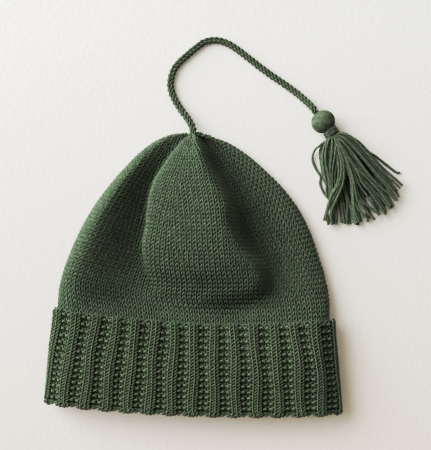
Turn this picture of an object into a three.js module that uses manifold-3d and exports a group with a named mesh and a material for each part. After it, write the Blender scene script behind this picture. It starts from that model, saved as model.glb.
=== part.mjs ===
// Knitted cap with a turned-up ribbed cuff and a cord that ends in a tassel, lying on its back.
// Millimetres, +Z up. The cap rests on the plane Z = 0, with its mouth towards -Y and its tip towards +Y.
// The origin is on that plane, under the middle of the cap without its cord and tassel.
import * as THREE from "three";
import { mergeVertices } from "three/addons/utils/BufferGeometryUtils.js";
import Module from "manifold-3d";

const wasm = await Module();
wasm.setup();

// Driving dimensions of the knitting
const WALL = 3.0; // one layer of knitting
const SEAT_GAP = 0.3; // between pieces that meet
const RIBS = 28; // ribs round the cuff
const STITCHES_PER_RIB = 4; // two raised knit stitches, then two sunk ones
const RIB_TURN = -0.0031; // share of the way round that the first rib starts at, from under the middle
const CUFF_STITCHES = RIBS * STITCHES_PER_RIB;
const RIB_RISE = 2.0; // of a raised stitch over a sunk one
const LAYER_GAP = 0.7; // between the two layers of the cuff
const CUFF_SECTIONS = { outer: 6, inner: 4, slit: 3 };
const FOLD_TURNS = [45, 90, 135]; // degrees round the fold, from the outer face to the inner one
const CROWN_SECTIONS = 12; // from the cuff's upper edge to the last full hollow

// Driving dimensions of the cord and the tassel
const CORD_RADIUS = 2.3;
const CORD_STEPS = 32;
const CORD_SIDES = 8;
const BALL_RADIUS = 8.7;
const BALL_SEAT_RADIUS = CORD_RADIUS + 0.4; // flat on the ball for the cord's end
const BALL_RINGS = 9;
const HEAD_SIDES = 18;
const NECK_RADIUS = 3.6;
const NECK_END = 13.8; // from the ball's middle
const BINDING_TURNS = 3;
const BINDING_YARN = 1.9; // width of one turn
const BINDING_PROFILE = [[0.05, 0.6], [0.5, 1], [0.95, 0.6]]; // of one turn: along and out, in widths
const BINDING_SIDES = 16;
const SKIRT_LENGTH = 66; // at its middle
const SKIRT_SIDE_TRIM = 4; // the locks at its sides are shorter by this
const SKIRT_ROOT = 1.0; // clearance for the skirt's turn at the neck

// Places along the cap, as shares of the crown: 0 is the cuff's upper edge and 1 is the tip.
const FOLD_SHARE = -0.46; // where the cuff turns up
const SEAM_SHARE = -0.06; // where the crown's plain knitting meets the ribbing, behind the cuff
const RIM_SHARE = SEAM_SHARE - 0.003; // the ribbing's rim, which leaves a gap below the crown's
const SLIT_SHARE = FOLD_SHARE + 0.02; // where the slit between the cuff's layers ends
const HOLLOW_END_SHARE = 0.64; // the last section with its full hollow
const HOLLOW_END_OVAL = { share: 0.84, x: -6, z: 5.4, halfWidth: 8, halfHeight: 2 };
const TIP_SHARES = [0.8, 0.88, 0.94, 1]; // sections of the gathers beyond the hollow
const SLOPE_SHARE = 0.004; // step to both sides for the slope along the cap

// The cap's outer face, one row for each section from the fold to the tip.
// xMid and slant say how the cap lies: its middle's place, and how far its right edge is turned to the tip.
const PLAN_COLUMNS = [
  "share", "yMid", "ySide", "xMid", "slant", "halfWidth", "edgeLeftZ", "edgeRightZ", "baseZ",
];
const PLAN = [
  [-0.46, -97.4, -93.6, 0.4, -3.6, 102.4, 11.5, 11.5, 4.35],
  [-0.20, -64.8, -60.0, 0.4, -4.0, 99.8, 11.5, 11.5, 4.35],
  [0.00, -37.0, -29.5, 0.4, -4.2, 98.0, 11.5, 11.0, 4.35],
  [0.08, -24.5, -15.8, 0.9, -3.8, 97.8, 11.0, 8.5, 0.6],
  [0.16, -12.5, -1.8, 1.2, -3.2, 95.2, 10.5, 7.2, 0.0],
  [0.25, 0.8, 13.0, 1.6, -2.4, 90.6, 10.5, 6.6, 0.0],
  [0.35, 15.6, 30.0, 2.0, -1.4, 84.1, 10.0, 6.2, 0.0],
  [0.45, 30.5, 45.3, 2.2, -0.6, 76.4, 10.0, 5.8, 0.0],
  [0.56, 46.7, 60.8, 1.8, 0.0, 65.7, 10.0, 5.5, 0.0],
  [0.67, 62.6, 75.4, 1.1, -0.4, 52.7, 9.5, 5.0, 0.0],
  [0.78, 77.6, 88.6, 0.4, -0.8, 39.0, 8.5, 4.4, 0.0],
  [0.88, 90.2, 97.9, 0.0, -0.9, 24.6, 8.5, 4.8, 1.0],
  [0.95, 97.8, 101.6, -0.1, -0.8, 13.0, 8.6, 6.4, 3.0],
  [1.00, 102.4, 102.6, 0.0, 0.0, 3.4, 9.3, 9.3, 5.9],
];
// Folds of the upper side at the same sections. The lobes are the two side swellings, and the ridge is the
// fold that stands up between two valleys.
const FOLD_COLUMNS = [
  "share", "lobeLeftZ", "valleyLeftX", "valleyLeftZ", "ridgeLeftX", "ridgeLeftZ",
  "ridgeMidZ", "ridgeRightX", "ridgeRightZ", "valleyRightX", "valleyRightZ", "lobeRightZ",
];
const FOLDS = [
  [-0.46, 18.5, -48.0, 20.5, -26.0, 21.0, 21.3, 26.0, 21.0, 48.0, 20.5, 18.5],
  [-0.20, 21.5, -46.0, 23.8, -25.0, 24.0, 24.0, 25.0, 23.6, 46.0, 23.0, 21.0],
  [0.00, 20.0, -46.0, 18.5, -27.0, 16.5, 16.0, 27.0, 14.2, 46.0, 15.5, 18.0],
  [0.08, 22.5, -50.0, 13.0, -29.0, 11.5, 12.8, 31.0, 8.8, 50.5, 12.5, 16.0],
  [0.16, 26.0, -41.0, 11.6, -22.0, 15.5, 20.5, 42.0, 24.0, 57.0, 13.2, 14.5],
  [0.25, 29.0, -41.5, 10.6, -30.5, 20.5, 30.5, 41.0, 31.0, 55.0, 11.4, 13.5],
  [0.35, 30.0, -42.0, 10.8, -35.0, 25.0, 35.0, 29.0, 37.0, 43.5, 10.8, 12.8],
  [0.45, 29.5, -39.5, 11.0, -33.2, 26.4, 36.2, 22.0, 39.5, 36.0, 10.2, 12.2],
  [0.56, 26.5, -37.0, 11.0, -31.5, 26.4, 36.2, 20.5, 39.5, 33.0, 9.6, 11.4],
  [0.67, 22.0, -31.5, 11.6, -26.5, 25.4, 34.4, 14.0, 37.4, 25.6, 8.8, 10.0],
  [0.78, 18.0, -22.0, 13.0, -17.6, 22.8, 30.2, 7.8, 33.2, 17.2, 7.8, 8.6],
  [0.88, 16.0, -13.0, 14.0, -9.8, 18.8, 23.6, 5.0, 25.4, 11.8, 7.6, 8.4],
  [0.95, 13.6, -6.8, 13.4, -4.8, 15.2, 17.2, 2.6, 17.8, 6.8, 8.8, 9.8],
  [1.00, 11.5, -1.9, 12.3, -1.0, 12.6, 12.7, 1.0, 12.6, 1.9, 12.3, 11.5],
];
const STATION_COLUMNS = [...PLAN_COLUMNS, ...FOLD_COLUMNS.slice(1)];
const STATIONS = PLAN.map((row, i) => {
  const values = [...row, ...FOLDS[i].slice(1)];
  return Object.fromEntries(STATION_COLUMNS.map((column, c) => [column, values[c]]));
});
const LOBE_SHARE = 0.86; // of the half width, where the lobes crest
const UNDERSIDE_SHARES = [-0.9, -0.45, 0, 0.45, 0.9]; // of the half width, along the flat underside
const ARC_DIVISIONS = 600; // for the length of a section's curve

// The cord's middle line, from the tip of the crown to the ball of the tassel.
const CORD_ROUTE = [
  [0, 103.2, 9.3], [-0.4, 105.6, 8.7], [-1.8, 109.6, 7.4], [-4.9, 114.8, 5.6], [-9.2, 120.8, 3.8],
  [-13.0, 127.0, 2.7], [-16.0, 133.4, 2.35], [-17.3, 140.0, 2.35], [-16.6, 146.4, 2.35], [-14.4, 152.4, 2.35],
  [-10.2, 157.8, 2.35], [-4.2, 163.4, 2.35], [2.4, 169.0, 2.35], [7.7, 172.6, 2.35], [13.7, 174.2, 2.35],
  [20.0, 173.7, 2.35], [26.0, 171.4, 2.35], [31.9, 167.6, 2.35], [37.8, 163.0, 2.35], [43.6, 158.4, 2.35],
  [49.5, 153.7, 2.35], [55.4, 149.2, 2.35], [61.4, 145.0, 2.35], [67.3, 140.9, 2.35], [73.3, 136.5, 2.5],
  [79.2, 131.4, 3.6], [84.2, 126.2, 5.8], [87.4, 122.3, 7.8], [89.2, 119.8, 8.5], [90.4, 118.1, 8.7],
].map((point) => new THREE.Vector3(...point));
const BALL_MIDDLE = new THREE.Vector3(95.3, 111.1, BALL_RADIUS);
const TASSEL_TURN = -55; // degrees from +X to the line from the ball to its neck
const SKIRT_TURN = -11.2; // degrees more from the neck's line to the skirt's middle line

function yarnMaterial(color) {
  return new THREE.MeshStandardMaterial({ color, roughness: 0.9, metalness: 0 });
}
const CROWN_YARN = yarnMaterial(0x4a5a43);
const CUFF_YARN = yarnMaterial(0x45553f);
const CORD_YARN = yarnMaterial(0x56624c);
const TASSEL_YARN = yarnMaterial(0x51664d);

// Value of one station column at a share, on a smooth curve through the rows.
function columnAt(column, share) {
  const last = STATIONS.length - 1;
  let row = 0;
  while (row < last - 1 && share > STATIONS[row + 1].share) row += 1;
  const slope = (i) =>
    (STATIONS[i + 1][column] - STATIONS[i][column]) / (STATIONS[i + 1].share - STATIONS[i].share);
  const tangent = (i) => {
    if (i === 0) return slope(0);
    if (i === last) return slope(last - 1);
    const before = STATIONS[i].share - STATIONS[i - 1].share;
    const after = STATIONS[i + 1].share - STATIONS[i].share;
    return (slope(i - 1) * after + slope(i) * before) / (before + after);
  };
  const span = STATIONS[row + 1].share - STATIONS[row].share;
  const t = (share - STATIONS[row].share) / span;
  const start = STATIONS[row][column];
  const end = STATIONS[row + 1][column];
  const rise = end - start;
  const lead = tangent(row) * span;
  const tail = tangent(row + 1) * span;
  return start + t * lead + t * t * (3 * rise - 2 * lead - tail) + t * t * t * (lead + tail - 2 * rise);
}

function stationAt(share) {
  return Object.fromEntries(STATION_COLUMNS.map((column) => [column, columnAt(column, share)]));
}

// Closed curve of the outer face at a share. It starts under the middle, goes up the right side (+X),
// over the top and down the left side.
function sectionCurve(at) {
  const w = at.halfWidth;
  const under = UNDERSIDE_SHARES.map((part) => [part * w, at.baseZ]);
  const over = [
    [w, at.edgeRightZ],
    [LOBE_SHARE * w, at.lobeRightZ],
    [at.valleyRightX, at.valleyRightZ],
    [at.ridgeRightX, at.ridgeRightZ],
    [(at.ridgeRightX + at.ridgeLeftX) / 2, at.ridgeMidZ],
    [at.ridgeLeftX, at.ridgeLeftZ],
    [at.valleyLeftX, at.valleyLeftZ],
    [-LOBE_SHARE * w, at.lobeLeftZ],
    [-w, at.edgeLeftZ],
  ];
  const knots = [...under.slice(2), ...over, ...under.slice(0, 2)];
  const curve = new THREE.CatmullRomCurve3(
    knots.map(([x, z]) => new THREE.Vector3(x, 0, z)), true, "catmullrom", 0.5,
  );
  curve.arcLengthDivisions = ARC_DIVISIONS;
  return curve;
}

// Steps of the crown's facets between one knot of its section and the next, so that facets follow the folds.
const HALF_STEPS = [3, 3, 4, 6, 7, 5, 6];
const CROWN_STEPS = [...HALF_STEPS, ...HALF_STEPS.toReversed()];

function crownPlaces(curve) {
  return CROWN_STEPS.flatMap((steps, knot) =>
    Array.from({ length: steps }, (_, i) => curve.getPoint((knot + i / steps) / CROWN_STEPS.length)));
}

function ribPlaces(curve) {
  return Array.from({ length: CUFF_STITCHES }, (_, k) => {
    const turn = k / CUFF_STITCHES + RIB_TURN;
    return curve.getPointAt(turn < 0 ? turn + 1 : turn);
  });
}

// Outline of the outer face at a share, as points at the places that the piece's facets take.
function outline(share, places) {
  const at = stationAt(share);
  return places(sectionCurve(at)).map(({ x, z }) => {
    const side = THREE.MathUtils.clamp(x / at.halfWidth, -1, 1);
    const y = at.yMid + (at.ySide - at.yMid) * side ** 2 + at.slant * side;
    return new THREE.Vector3(at.xMid + x, y, Math.max(z, 0));
  });
}

// The outline at a share moved outwards by offset(k), and towards the mouth by along(k).
function ringAt(share, places, offset, along = () => 0) {
  const middle = outline(share, places);
  const towardsTip = outline(Math.min(1, share + SLOPE_SHARE), places);
  const towardsMouth = outline(Math.max(FOLD_SHARE, share - SLOPE_SHARE), places);
  const count = middle.length;
  return middle.map((point, k) => {
    const round = middle[(k + 1) % count].clone().sub(middle[(k + count - 1) % count]);
    const up = towardsTip[k].clone().sub(towardsMouth[k]).normalize();
    const out = up.clone().cross(round).normalize();
    const moved = point.clone().addScaledVector(out, offset(k)).addScaledVector(up, -along(k));
    return moved.setZ(Math.max(moved.z, 0));
  });
}

// Closed surface through rings of equal counts. It ends in a point at each end, or joins end to end.
function loft(rings, ends = null) {
  const count = rings[0].length;
  const points = rings.flat();
  const triangles = [];
  const joins = ends ? rings.length - 1 : rings.length;
  for (let r = 0; r < joins; r += 1) {
    const here = r * count;
    const next = ((r + 1) % rings.length) * count;
    for (let k = 0; k < count; k += 1) {
      const k1 = (k + 1) % count;
      triangles.push(here + k, next + k, here + k1, here + k1, next + k, next + k1);
    }
  }
  if (ends) {
    const first = points.push(ends[0]) - 1;
    const last = points.push(ends[1]) - 1;
    const lastRing = (rings.length - 1) * count;
    for (let k = 0; k < count; k += 1) {
      const k1 = (k + 1) % count;
      triangles.push(first, k, k1, last, lastRing + k1, lastRing + k);
    }
  }
  const geometry = new THREE.BufferGeometry().setFromPoints(points);
  geometry.setIndex(triangles);
  return geometry;
}

function middleOf(ring) {
  return ring.reduce((sum, point) => sum.add(point), new THREE.Vector3()).divideScalar(ring.length);
}

function evenly(from, to, count) {
  return Array.from({ length: count }, (_, i) => from + ((to - from) * i) / (count - 1));
}

// The ring with each point moved a quarter of the way to both of its neighbours, which rounds tight edges.
function softened(ring) {
  return ring.map((point, k) => {
    const before = ring[(k + ring.length - 1) % ring.length];
    const after = ring[(k + 1) % ring.length];
    return point.clone().lerp(before.clone().lerp(after, 0.5), 0.5);
  });
}

// Oval of that many points that closes the crown's hollow below the gathers of the tip.
function hollowEnd(count) {
  const { share, x, z, halfWidth, halfHeight } = HOLLOW_END_OVAL;
  const { yMid } = stationAt(share);
  return Array.from({ length: count }, (_, k) => {
    const turn = (2 * Math.PI * k) / count;
    return new THREE.Vector3(x + halfWidth * Math.sin(turn), yMid, z - halfHeight * Math.cos(turn));
  });
}

// Crown: one hollow wall from the seam behind the cuff to the gathered tip.
function crownGeometry() {
  const hollowShares = [SEAM_SHARE, ...evenly(0, HOLLOW_END_SHARE, CROWN_SECTIONS)];
  const innerFace = (share) => softened(ringAt(share, crownPlaces, () => -WALL));
  const inside = hollowShares.map(innerFace).reverse();
  const outside = [...hollowShares, ...TIP_SHARES].map((share) => ringAt(share, crownPlaces, () => 0));
  const end = hollowEnd(inside[0].length);
  return loft([end, ...inside, ...outside], [middleOf(end), middleOf(outside.at(-1))]);
}

// Cuff: the ribbing goes down inside, turns at the fold and comes up outside, as one band.
function cuffGeometry() {
  const ribHeight = (k) => (k % STITCHES_PER_RIB < STITCHES_PER_RIB / 2 ? RIB_RISE : 0);
  const outerFace = (k) => LAYER_GAP + WALL - RIB_RISE / 2 + ribHeight(k);
  const layerFace = () => LAYER_GAP;
  const seamFace = () => 0;
  const innerFace = () => -WALL;
  const rings = (shares, face) => shares.map((share) => ringAt(share, ribPlaces, face));
  const outer = rings(evenly(0, FOLD_SHARE, CUFF_SECTIONS.outer), outerFace);
  const fold = FOLD_TURNS.map((degrees) => {
    const turn = THREE.MathUtils.degToRad(degrees);
    const middle = (k) => (outerFace(k) - WALL) / 2;
    const radius = (k) => (outerFace(k) + WALL) / 2;
    return ringAt(
      FOLD_SHARE, ribPlaces,
      (k) => middle(k) + radius(k) * Math.cos(turn),
      (k) => radius(k) * Math.sin(turn),
    );
  });
  const inner = rings(evenly(FOLD_SHARE, RIM_SHARE, CUFF_SECTIONS.inner), innerFace);
  const slitInside = rings(evenly(RIM_SHARE, SLIT_SHARE, CUFF_SECTIONS.slit), seamFace);
  const slitOutside = rings([...evenly(SLIT_SHARE, SEAM_SHARE, CUFF_SECTIONS.slit), 0], layerFace);
  return loft([...outer, ...fold, ...inner, ...slitInside, ...slitOutside].reverse());
}

function cordGeometry() {
  const section = new THREE.Shape(
    Array.from({ length: CORD_SIDES }, (_, i) => {
      const angle = ((i + 0.5) * 2 * Math.PI) / CORD_SIDES;
      return new THREE.Vector2(Math.cos(angle), Math.sin(angle)).multiplyScalar(CORD_RADIUS);
    }),
  );
  return new THREE.ExtrudeGeometry(section, {
    steps: CORD_STEPS,
    extrudePath: new THREE.CatmullRomCurve3(CORD_ROUTE),
    bevelEnabled: false,
  });
}

// Turned shape about the tassel's own line (+X), from a profile of [along, radius].
function turned(profile, sides) {
  return new THREE.LatheGeometry(
    profile.map(([along, radius]) => new THREE.Vector2(radius, along)), sides,
  ).rotateZ(-Math.PI / 2);
}

// Head of the tassel: a ball with a flat seat for the cord, and the neck that the binding holds.
function headGeometry() {
  const seat = Math.asin(BALL_SEAT_RADIUS / BALL_RADIUS);
  const shoulder = Math.PI - Math.asin(NECK_RADIUS / BALL_RADIUS);
  const ball = evenly(seat, shoulder, BALL_RINGS).map((angle) =>
    [-BALL_RADIUS * Math.cos(angle), BALL_RADIUS * Math.sin(angle)]);
  return turned([[ball[0][0], 0], ...ball, [NECK_END, NECK_RADIUS], [NECK_END, 0]], HEAD_SIDES);
}

// Binding: turns of yarn side by side round the neck.
function bindingGeometry() {
  const inside = NECK_RADIUS + SEAT_GAP;
  const start = NECK_END - BINDING_TURNS * BINDING_YARN;
  const profile = [[start, inside]];
  for (let turn = 0; turn < BINDING_TURNS; turn += 1) {
    for (const [along, out] of BINDING_PROFILE) {
      profile.push([start + (turn + along) * BINDING_YARN, inside + out * BINDING_YARN]);
    }
  }
  profile.push([NECK_END, inside], [start, inside]);
  return turned(profile, BINDING_SIDES);
}

function toSolid(geometry) {
  const bare = geometry.clone();
  bare.deleteAttribute("normal");
  bare.deleteAttribute("uv");
  const merged = mergeVertices(bare);
  return new wasm.Manifold(new wasm.Mesh({
    numProp: 3,
    vertProperties: merged.attributes.position.array,
    triVerts: new Uint32Array(merged.index.array),
  }));
}

function toGeometry(solid) {
  const mesh = solid.getMesh();
  const geometry = new THREE.BufferGeometry();
  geometry.setAttribute("position", new THREE.BufferAttribute(mesh.vertProperties, 3));
  geometry.setIndex(new THREE.BufferAttribute(mesh.triVerts, 1));
  return geometry;
}

// Tapered rod along the skirt's +X through rows of { along, across, height, wide, tall }, the last two
// being its radii.
function rod(rows, sides) {
  const rings = rows.map(({ along, across, height, wide, tall }) =>
    Array.from({ length: sides }, (_, i) => {
      const angle = (i * 2 * Math.PI) / sides;
      return new THREE.Vector3(along, across + wide * Math.cos(angle), height - tall * Math.sin(angle));
    }));
  return loft(rings, [middleOf(rings[0]), middleOf(rings.at(-1))]);
}

// Skirt: locks of yarn that bulge out below the neck, fan apart and lie on the surface, fused to the bundle
// between them. Each layer of locks is a row, from the surface upwards.
const LOCK_LAYERS = [
  { count: 8, spread: 27, shoulderZ: 3.6, endZ: 3.0, lock: 3.0, reach: 1.0 },
  { count: 7, spread: 24, shoulderZ: 8.2, endZ: 6.0, lock: 2.9, reach: 0.98 },
  { count: 5, spread: 17, shoulderZ: 12.4, endZ: 7.4, lock: 2.8, reach: 0.93 },
];
const LOCK_SIDES = 6;
const LOCK_PLACES = [0, 0.05, 0.16, 0.4, 0.72, 1]; // along a lock, as shares of its length
const SHOULDER_PLACE = 0.16;
const LOCK_FAN = 0.42; // power of its place that a lock fans out by
const LOCK_ROOT = { spread: 2.4, size: 0.5 }; // across at the neck, and its share of the lock's radius
const LOCK_FLATNESS = 0.95; // height of a lock to its width
const BUNDLE_SIDES = 14;
const BUNDLE_COLUMNS = ["along", "across", "height", "wide", "tall"];
const BUNDLE = [
  [SKIRT_ROOT, 0, BALL_RADIUS, 3.9, 3.9],
  [0.06 * SKIRT_LENGTH, 0, 8.2, 8.0, 6.6],
  [0.18 * SKIRT_LENGTH, 0, 7.6, 12.0, 6.6],
  [0.42 * SKIRT_LENGTH, 0, 6.2, 17.0, 5.2],
  [0.66 * SKIRT_LENGTH, 0, 5.0, 20.0, 4.0],
].map((row) => Object.fromEntries(BUNDLE_COLUMNS.map((column, c) => [column, row[c]])));

// Rows of one lock: side is -1 to 1 across its layer.
function lockRows(layer, side) {
  return LOCK_PLACES.map((place) => {
    const across = side * Math.max(layer.spread * place ** LOCK_FAN, LOCK_ROOT.spread * (1 - place));
    const full = Math.sqrt(SKIRT_LENGTH ** 2 - (side * layer.spread) ** 2);
    const reach = layer.reach * (full - SKIRT_SIDE_TRIM * side ** 2);
    const along = SKIRT_ROOT + place * reach;
    const rise = Math.min(1, place / SHOULDER_PLACE);
    const fall = Math.max(0, (place - SHOULDER_PLACE) / (1 - SHOULDER_PLACE));
    const height = BALL_RADIUS + (layer.shoulderZ - BALL_RADIUS) * Math.sin((rise * Math.PI) / 2)
      + (layer.endZ - layer.shoulderZ) * fall;
    const wide = layer.lock * (place === 0 ? LOCK_ROOT.size : 1);
    return { along, across, height, wide, tall: wide * LOCK_FLATNESS };
  });
}

function skirtGeometry() {
  let skirt = toSolid(rod(BUNDLE, BUNDLE_SIDES));
  for (const layer of LOCK_LAYERS) {
    for (const side of evenly(-1, 1, layer.count)) {
      skirt = skirt.add(toSolid(rod(lockRows(layer, side), LOCK_SIDES)));
    }
  }
  return toGeometry(skirt);
}

function piece(name, geometry, material) {
  const mesh = new THREE.Mesh(geometry, material);
  mesh.name = name;
  return mesh;
}

const cap = new THREE.Group();
cap.add(piece("crown", crownGeometry(), CROWN_YARN));
cap.add(piece("cuff", cuffGeometry(), CUFF_YARN));
cap.add(piece("cord", cordGeometry(), CORD_YARN));

const tassel = new THREE.Group();
tassel.position.copy(BALL_MIDDLE);
tassel.rotation.z = THREE.MathUtils.degToRad(TASSEL_TURN);
tassel.add(piece("tassel_head", headGeometry(), TASSEL_YARN));
tassel.add(piece("tassel_binding", bindingGeometry(), TASSEL_YARN));

const skirt = new THREE.Group();
skirt.position.set(NECK_END + SEAT_GAP, 0, -BALL_RADIUS);
skirt.rotation.z = THREE.MathUtils.degToRad(SKIRT_TURN);
skirt.add(piece("tassel_skirt", skirtGeometry(), TASSEL_YARN));
tassel.add(skirt);
cap.add(tassel);

export default cap;
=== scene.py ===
"""A knitted cap with a turned-up cuff, a cord and a tassel, dressed yarn by yarn."""

import logging
import math
from dataclasses import dataclass
from enum import Enum

import bpy
import numpy as np
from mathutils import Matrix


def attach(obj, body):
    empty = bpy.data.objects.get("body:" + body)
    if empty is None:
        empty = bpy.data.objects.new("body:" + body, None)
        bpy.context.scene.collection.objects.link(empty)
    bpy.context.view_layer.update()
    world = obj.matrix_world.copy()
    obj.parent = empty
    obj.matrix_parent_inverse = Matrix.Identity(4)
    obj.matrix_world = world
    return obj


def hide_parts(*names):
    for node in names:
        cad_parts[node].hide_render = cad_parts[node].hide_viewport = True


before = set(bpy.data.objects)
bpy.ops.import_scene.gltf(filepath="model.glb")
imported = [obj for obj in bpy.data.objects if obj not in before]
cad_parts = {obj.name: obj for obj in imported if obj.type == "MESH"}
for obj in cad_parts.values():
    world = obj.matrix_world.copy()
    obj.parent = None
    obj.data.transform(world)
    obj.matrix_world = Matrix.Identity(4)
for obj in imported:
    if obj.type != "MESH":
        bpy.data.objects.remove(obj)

Colour = tuple[float, float, float]
Point = tuple[float, float, float]
Piece = bpy.types.Object
Socket = bpy.types.NodeSocket

LOG = logging.getLogger("knit_cap")
BODY = "root"
MM = 0.001
TAU = 2.0 * math.pi
UPWARD = np.array([0.0, 0.0, 1.0])

# The least length to divide by, and a nudge below a whole number
TINY = 1e-12
NUDGE = 1e-9

# Lengths that the solids share, in millimetres
WALL = 3.0
LAYER_GAP = 0.7

# Shares of the way from the cuff's top edge, which is 0, to the tip, which is 1
FOLD_SHARE = -0.46
SEAM_SHARE = -0.06

# Shares of a section's half width
LOBE_SHARE = 0.86
UNDERSIDE_SHARES = (0.45, 0.9)

# The ribs round the cuff, and the stitches in each
RIBS = 28
RIB_STITCHES = 4

# The plan of the cap, a row for each section, in millimetres
# Columns: share, yMid, ySide, xMid, slant, halfWidth, edgeLeftZ, edgeRightZ, baseZ
PLAN = np.array([
    [-0.46, -97.4, -93.6, 0.4, -3.6, 102.4, 11.5, 11.5, 4.35],
    [-0.20, -64.8, -60.0, 0.4, -4.0, 99.8, 11.5, 11.5, 4.35],
    [0.00, -37.0, -29.5, 0.4, -4.2, 98.0, 11.5, 11.0, 4.35],
    [0.08, -24.5, -15.8, 0.9, -3.8, 97.8, 11.0, 8.5, 0.6],
    [0.16, -12.5, -1.8, 1.2, -3.2, 95.2, 10.5, 7.2, 0.0],
    [0.25, 0.8, 13.0, 1.6, -2.4, 90.6, 10.5, 6.6, 0.0],
    [0.35, 15.6, 30.0, 2.0, -1.4, 84.1, 10.0, 6.2, 0.0],
    [0.45, 30.5, 45.3, 2.2, -0.6, 76.4, 10.0, 5.8, 0.0],
    [0.56, 46.7, 60.8, 1.8, 0.0, 65.7, 10.0, 5.5, 0.0],
    [0.67, 62.6, 75.4, 1.1, -0.4, 52.7, 9.5, 5.0, 0.0],
    [0.78, 77.6, 88.6, 0.4, -0.8, 39.0, 8.5, 4.4, 0.0],
    [0.88, 90.2, 97.9, 0.0, -0.9, 24.6, 8.5, 4.8, 1.0],
    [0.95, 97.8, 101.6, -0.1, -0.8, 13.0, 8.6, 6.4, 3.0],
    [1.00, 102.4, 102.6, 0.0, 0.0, 3.4, 9.3, 9.3, 5.9],
])

# The folds of the cap at the same sections, in millimetres
# Columns: share, lobeLeftZ, valleyLeftX, valleyLeftZ, ridgeLeftX, ridgeLeftZ, ridgeMidZ,
# ridgeRightX, ridgeRightZ, valleyRightX, valleyRightZ, lobeRightZ
FOLDS = np.array([
    [-0.46, 18.5, -48.0, 20.5, -26.0, 21.0, 21.3, 26.0, 21.0, 48.0, 20.5, 18.5],
    [-0.20, 21.5, -46.0, 23.8, -25.0, 24.0, 24.0, 25.0, 23.6, 46.0, 23.0, 21.0],
    [0.00, 20.0, -46.0, 18.5, -27.0, 16.5, 16.0, 27.0, 14.2, 46.0, 15.5, 18.0],
    [0.08, 22.5, -50.0, 13.0, -29.0, 11.5, 12.8, 31.0, 8.8, 50.5, 12.5, 16.0],
    [0.16, 26.0, -41.0, 11.6, -22.0, 15.5, 20.5, 42.0, 24.0, 57.0, 13.2, 14.5],
    [0.25, 29.0, -41.5, 10.6, -30.5, 20.5, 30.5, 41.0, 31.0, 55.0, 11.4, 13.5],
    [0.35, 30.0, -42.0, 10.8, -35.0, 25.0, 35.0, 29.0, 37.0, 43.5, 10.8, 12.8],
    [0.45, 29.5, -39.5, 11.0, -33.2, 26.4, 36.2, 22.0, 39.5, 36.0, 10.2, 12.2],
    [0.56, 26.5, -37.0, 11.0, -31.5, 26.4, 36.2, 20.5, 39.5, 33.0, 9.6, 11.4],
    [0.67, 22.0, -31.5, 11.6, -26.5, 25.4, 34.4, 14.0, 37.4, 25.6, 8.8, 10.0],
    [0.78, 18.0, -22.0, 13.0, -17.6, 22.8, 30.2, 7.8, 33.2, 17.2, 7.8, 8.6],
    [0.88, 16.0, -13.0, 14.0, -9.8, 18.8, 23.6, 5.0, 25.4, 11.8, 7.6, 8.4],
    [0.95, 13.6, -6.8, 13.4, -4.8, 15.2, 17.2, 2.6, 17.8, 6.8, 8.8, 9.8],
    [1.00, 11.5, -1.9, 12.3, -1.0, 12.6, 12.7, 1.0, 12.6, 1.9, 12.3, 11.5],
])

# The cord's middle line in metres, from the tip of the crown to the ball of the tassel
CORD_ROUTE = np.array([
    [0.0000, 0.1032, 0.0093], [-0.0004, 0.1056, 0.0087], [-0.0018, 0.1096, 0.0074],
    [-0.0049, 0.1148, 0.0056], [-0.0092, 0.1208, 0.0038], [-0.0130, 0.1270, 0.0027],
    [-0.0160, 0.1334, 0.00235], [-0.0173, 0.1400, 0.00235], [-0.0166, 0.1464, 0.00235],
    [-0.0144, 0.1524, 0.00235], [-0.0102, 0.1578, 0.00235], [-0.0042, 0.1634, 0.00235],
    [0.0024, 0.1690, 0.00235], [0.0077, 0.1726, 0.00235], [0.0137, 0.1742, 0.00235],
    [0.0200, 0.1737, 0.00235], [0.0260, 0.1714, 0.00235], [0.0319, 0.1676, 0.00235],
    [0.0378, 0.1630, 0.00235], [0.0436, 0.1584, 0.00235], [0.0495, 0.1537, 0.00235],
    [0.0554, 0.1492, 0.00235], [0.0614, 0.1450, 0.00235], [0.0673, 0.1409, 0.00235],
    [0.0733, 0.1365, 0.0025], [0.0792, 0.1314, 0.0036], [0.0842, 0.1262, 0.0058],
    [0.0874, 0.1223, 0.0078], [0.0892, 0.1198, 0.0085], [0.0904, 0.1181, 0.0087],
])


class Face(Enum):
    """Which face of the knitting a stitch shows."""

    PLAIN = 1.0
    PURL = -1.0
    BEHIND = 0.3


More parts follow.
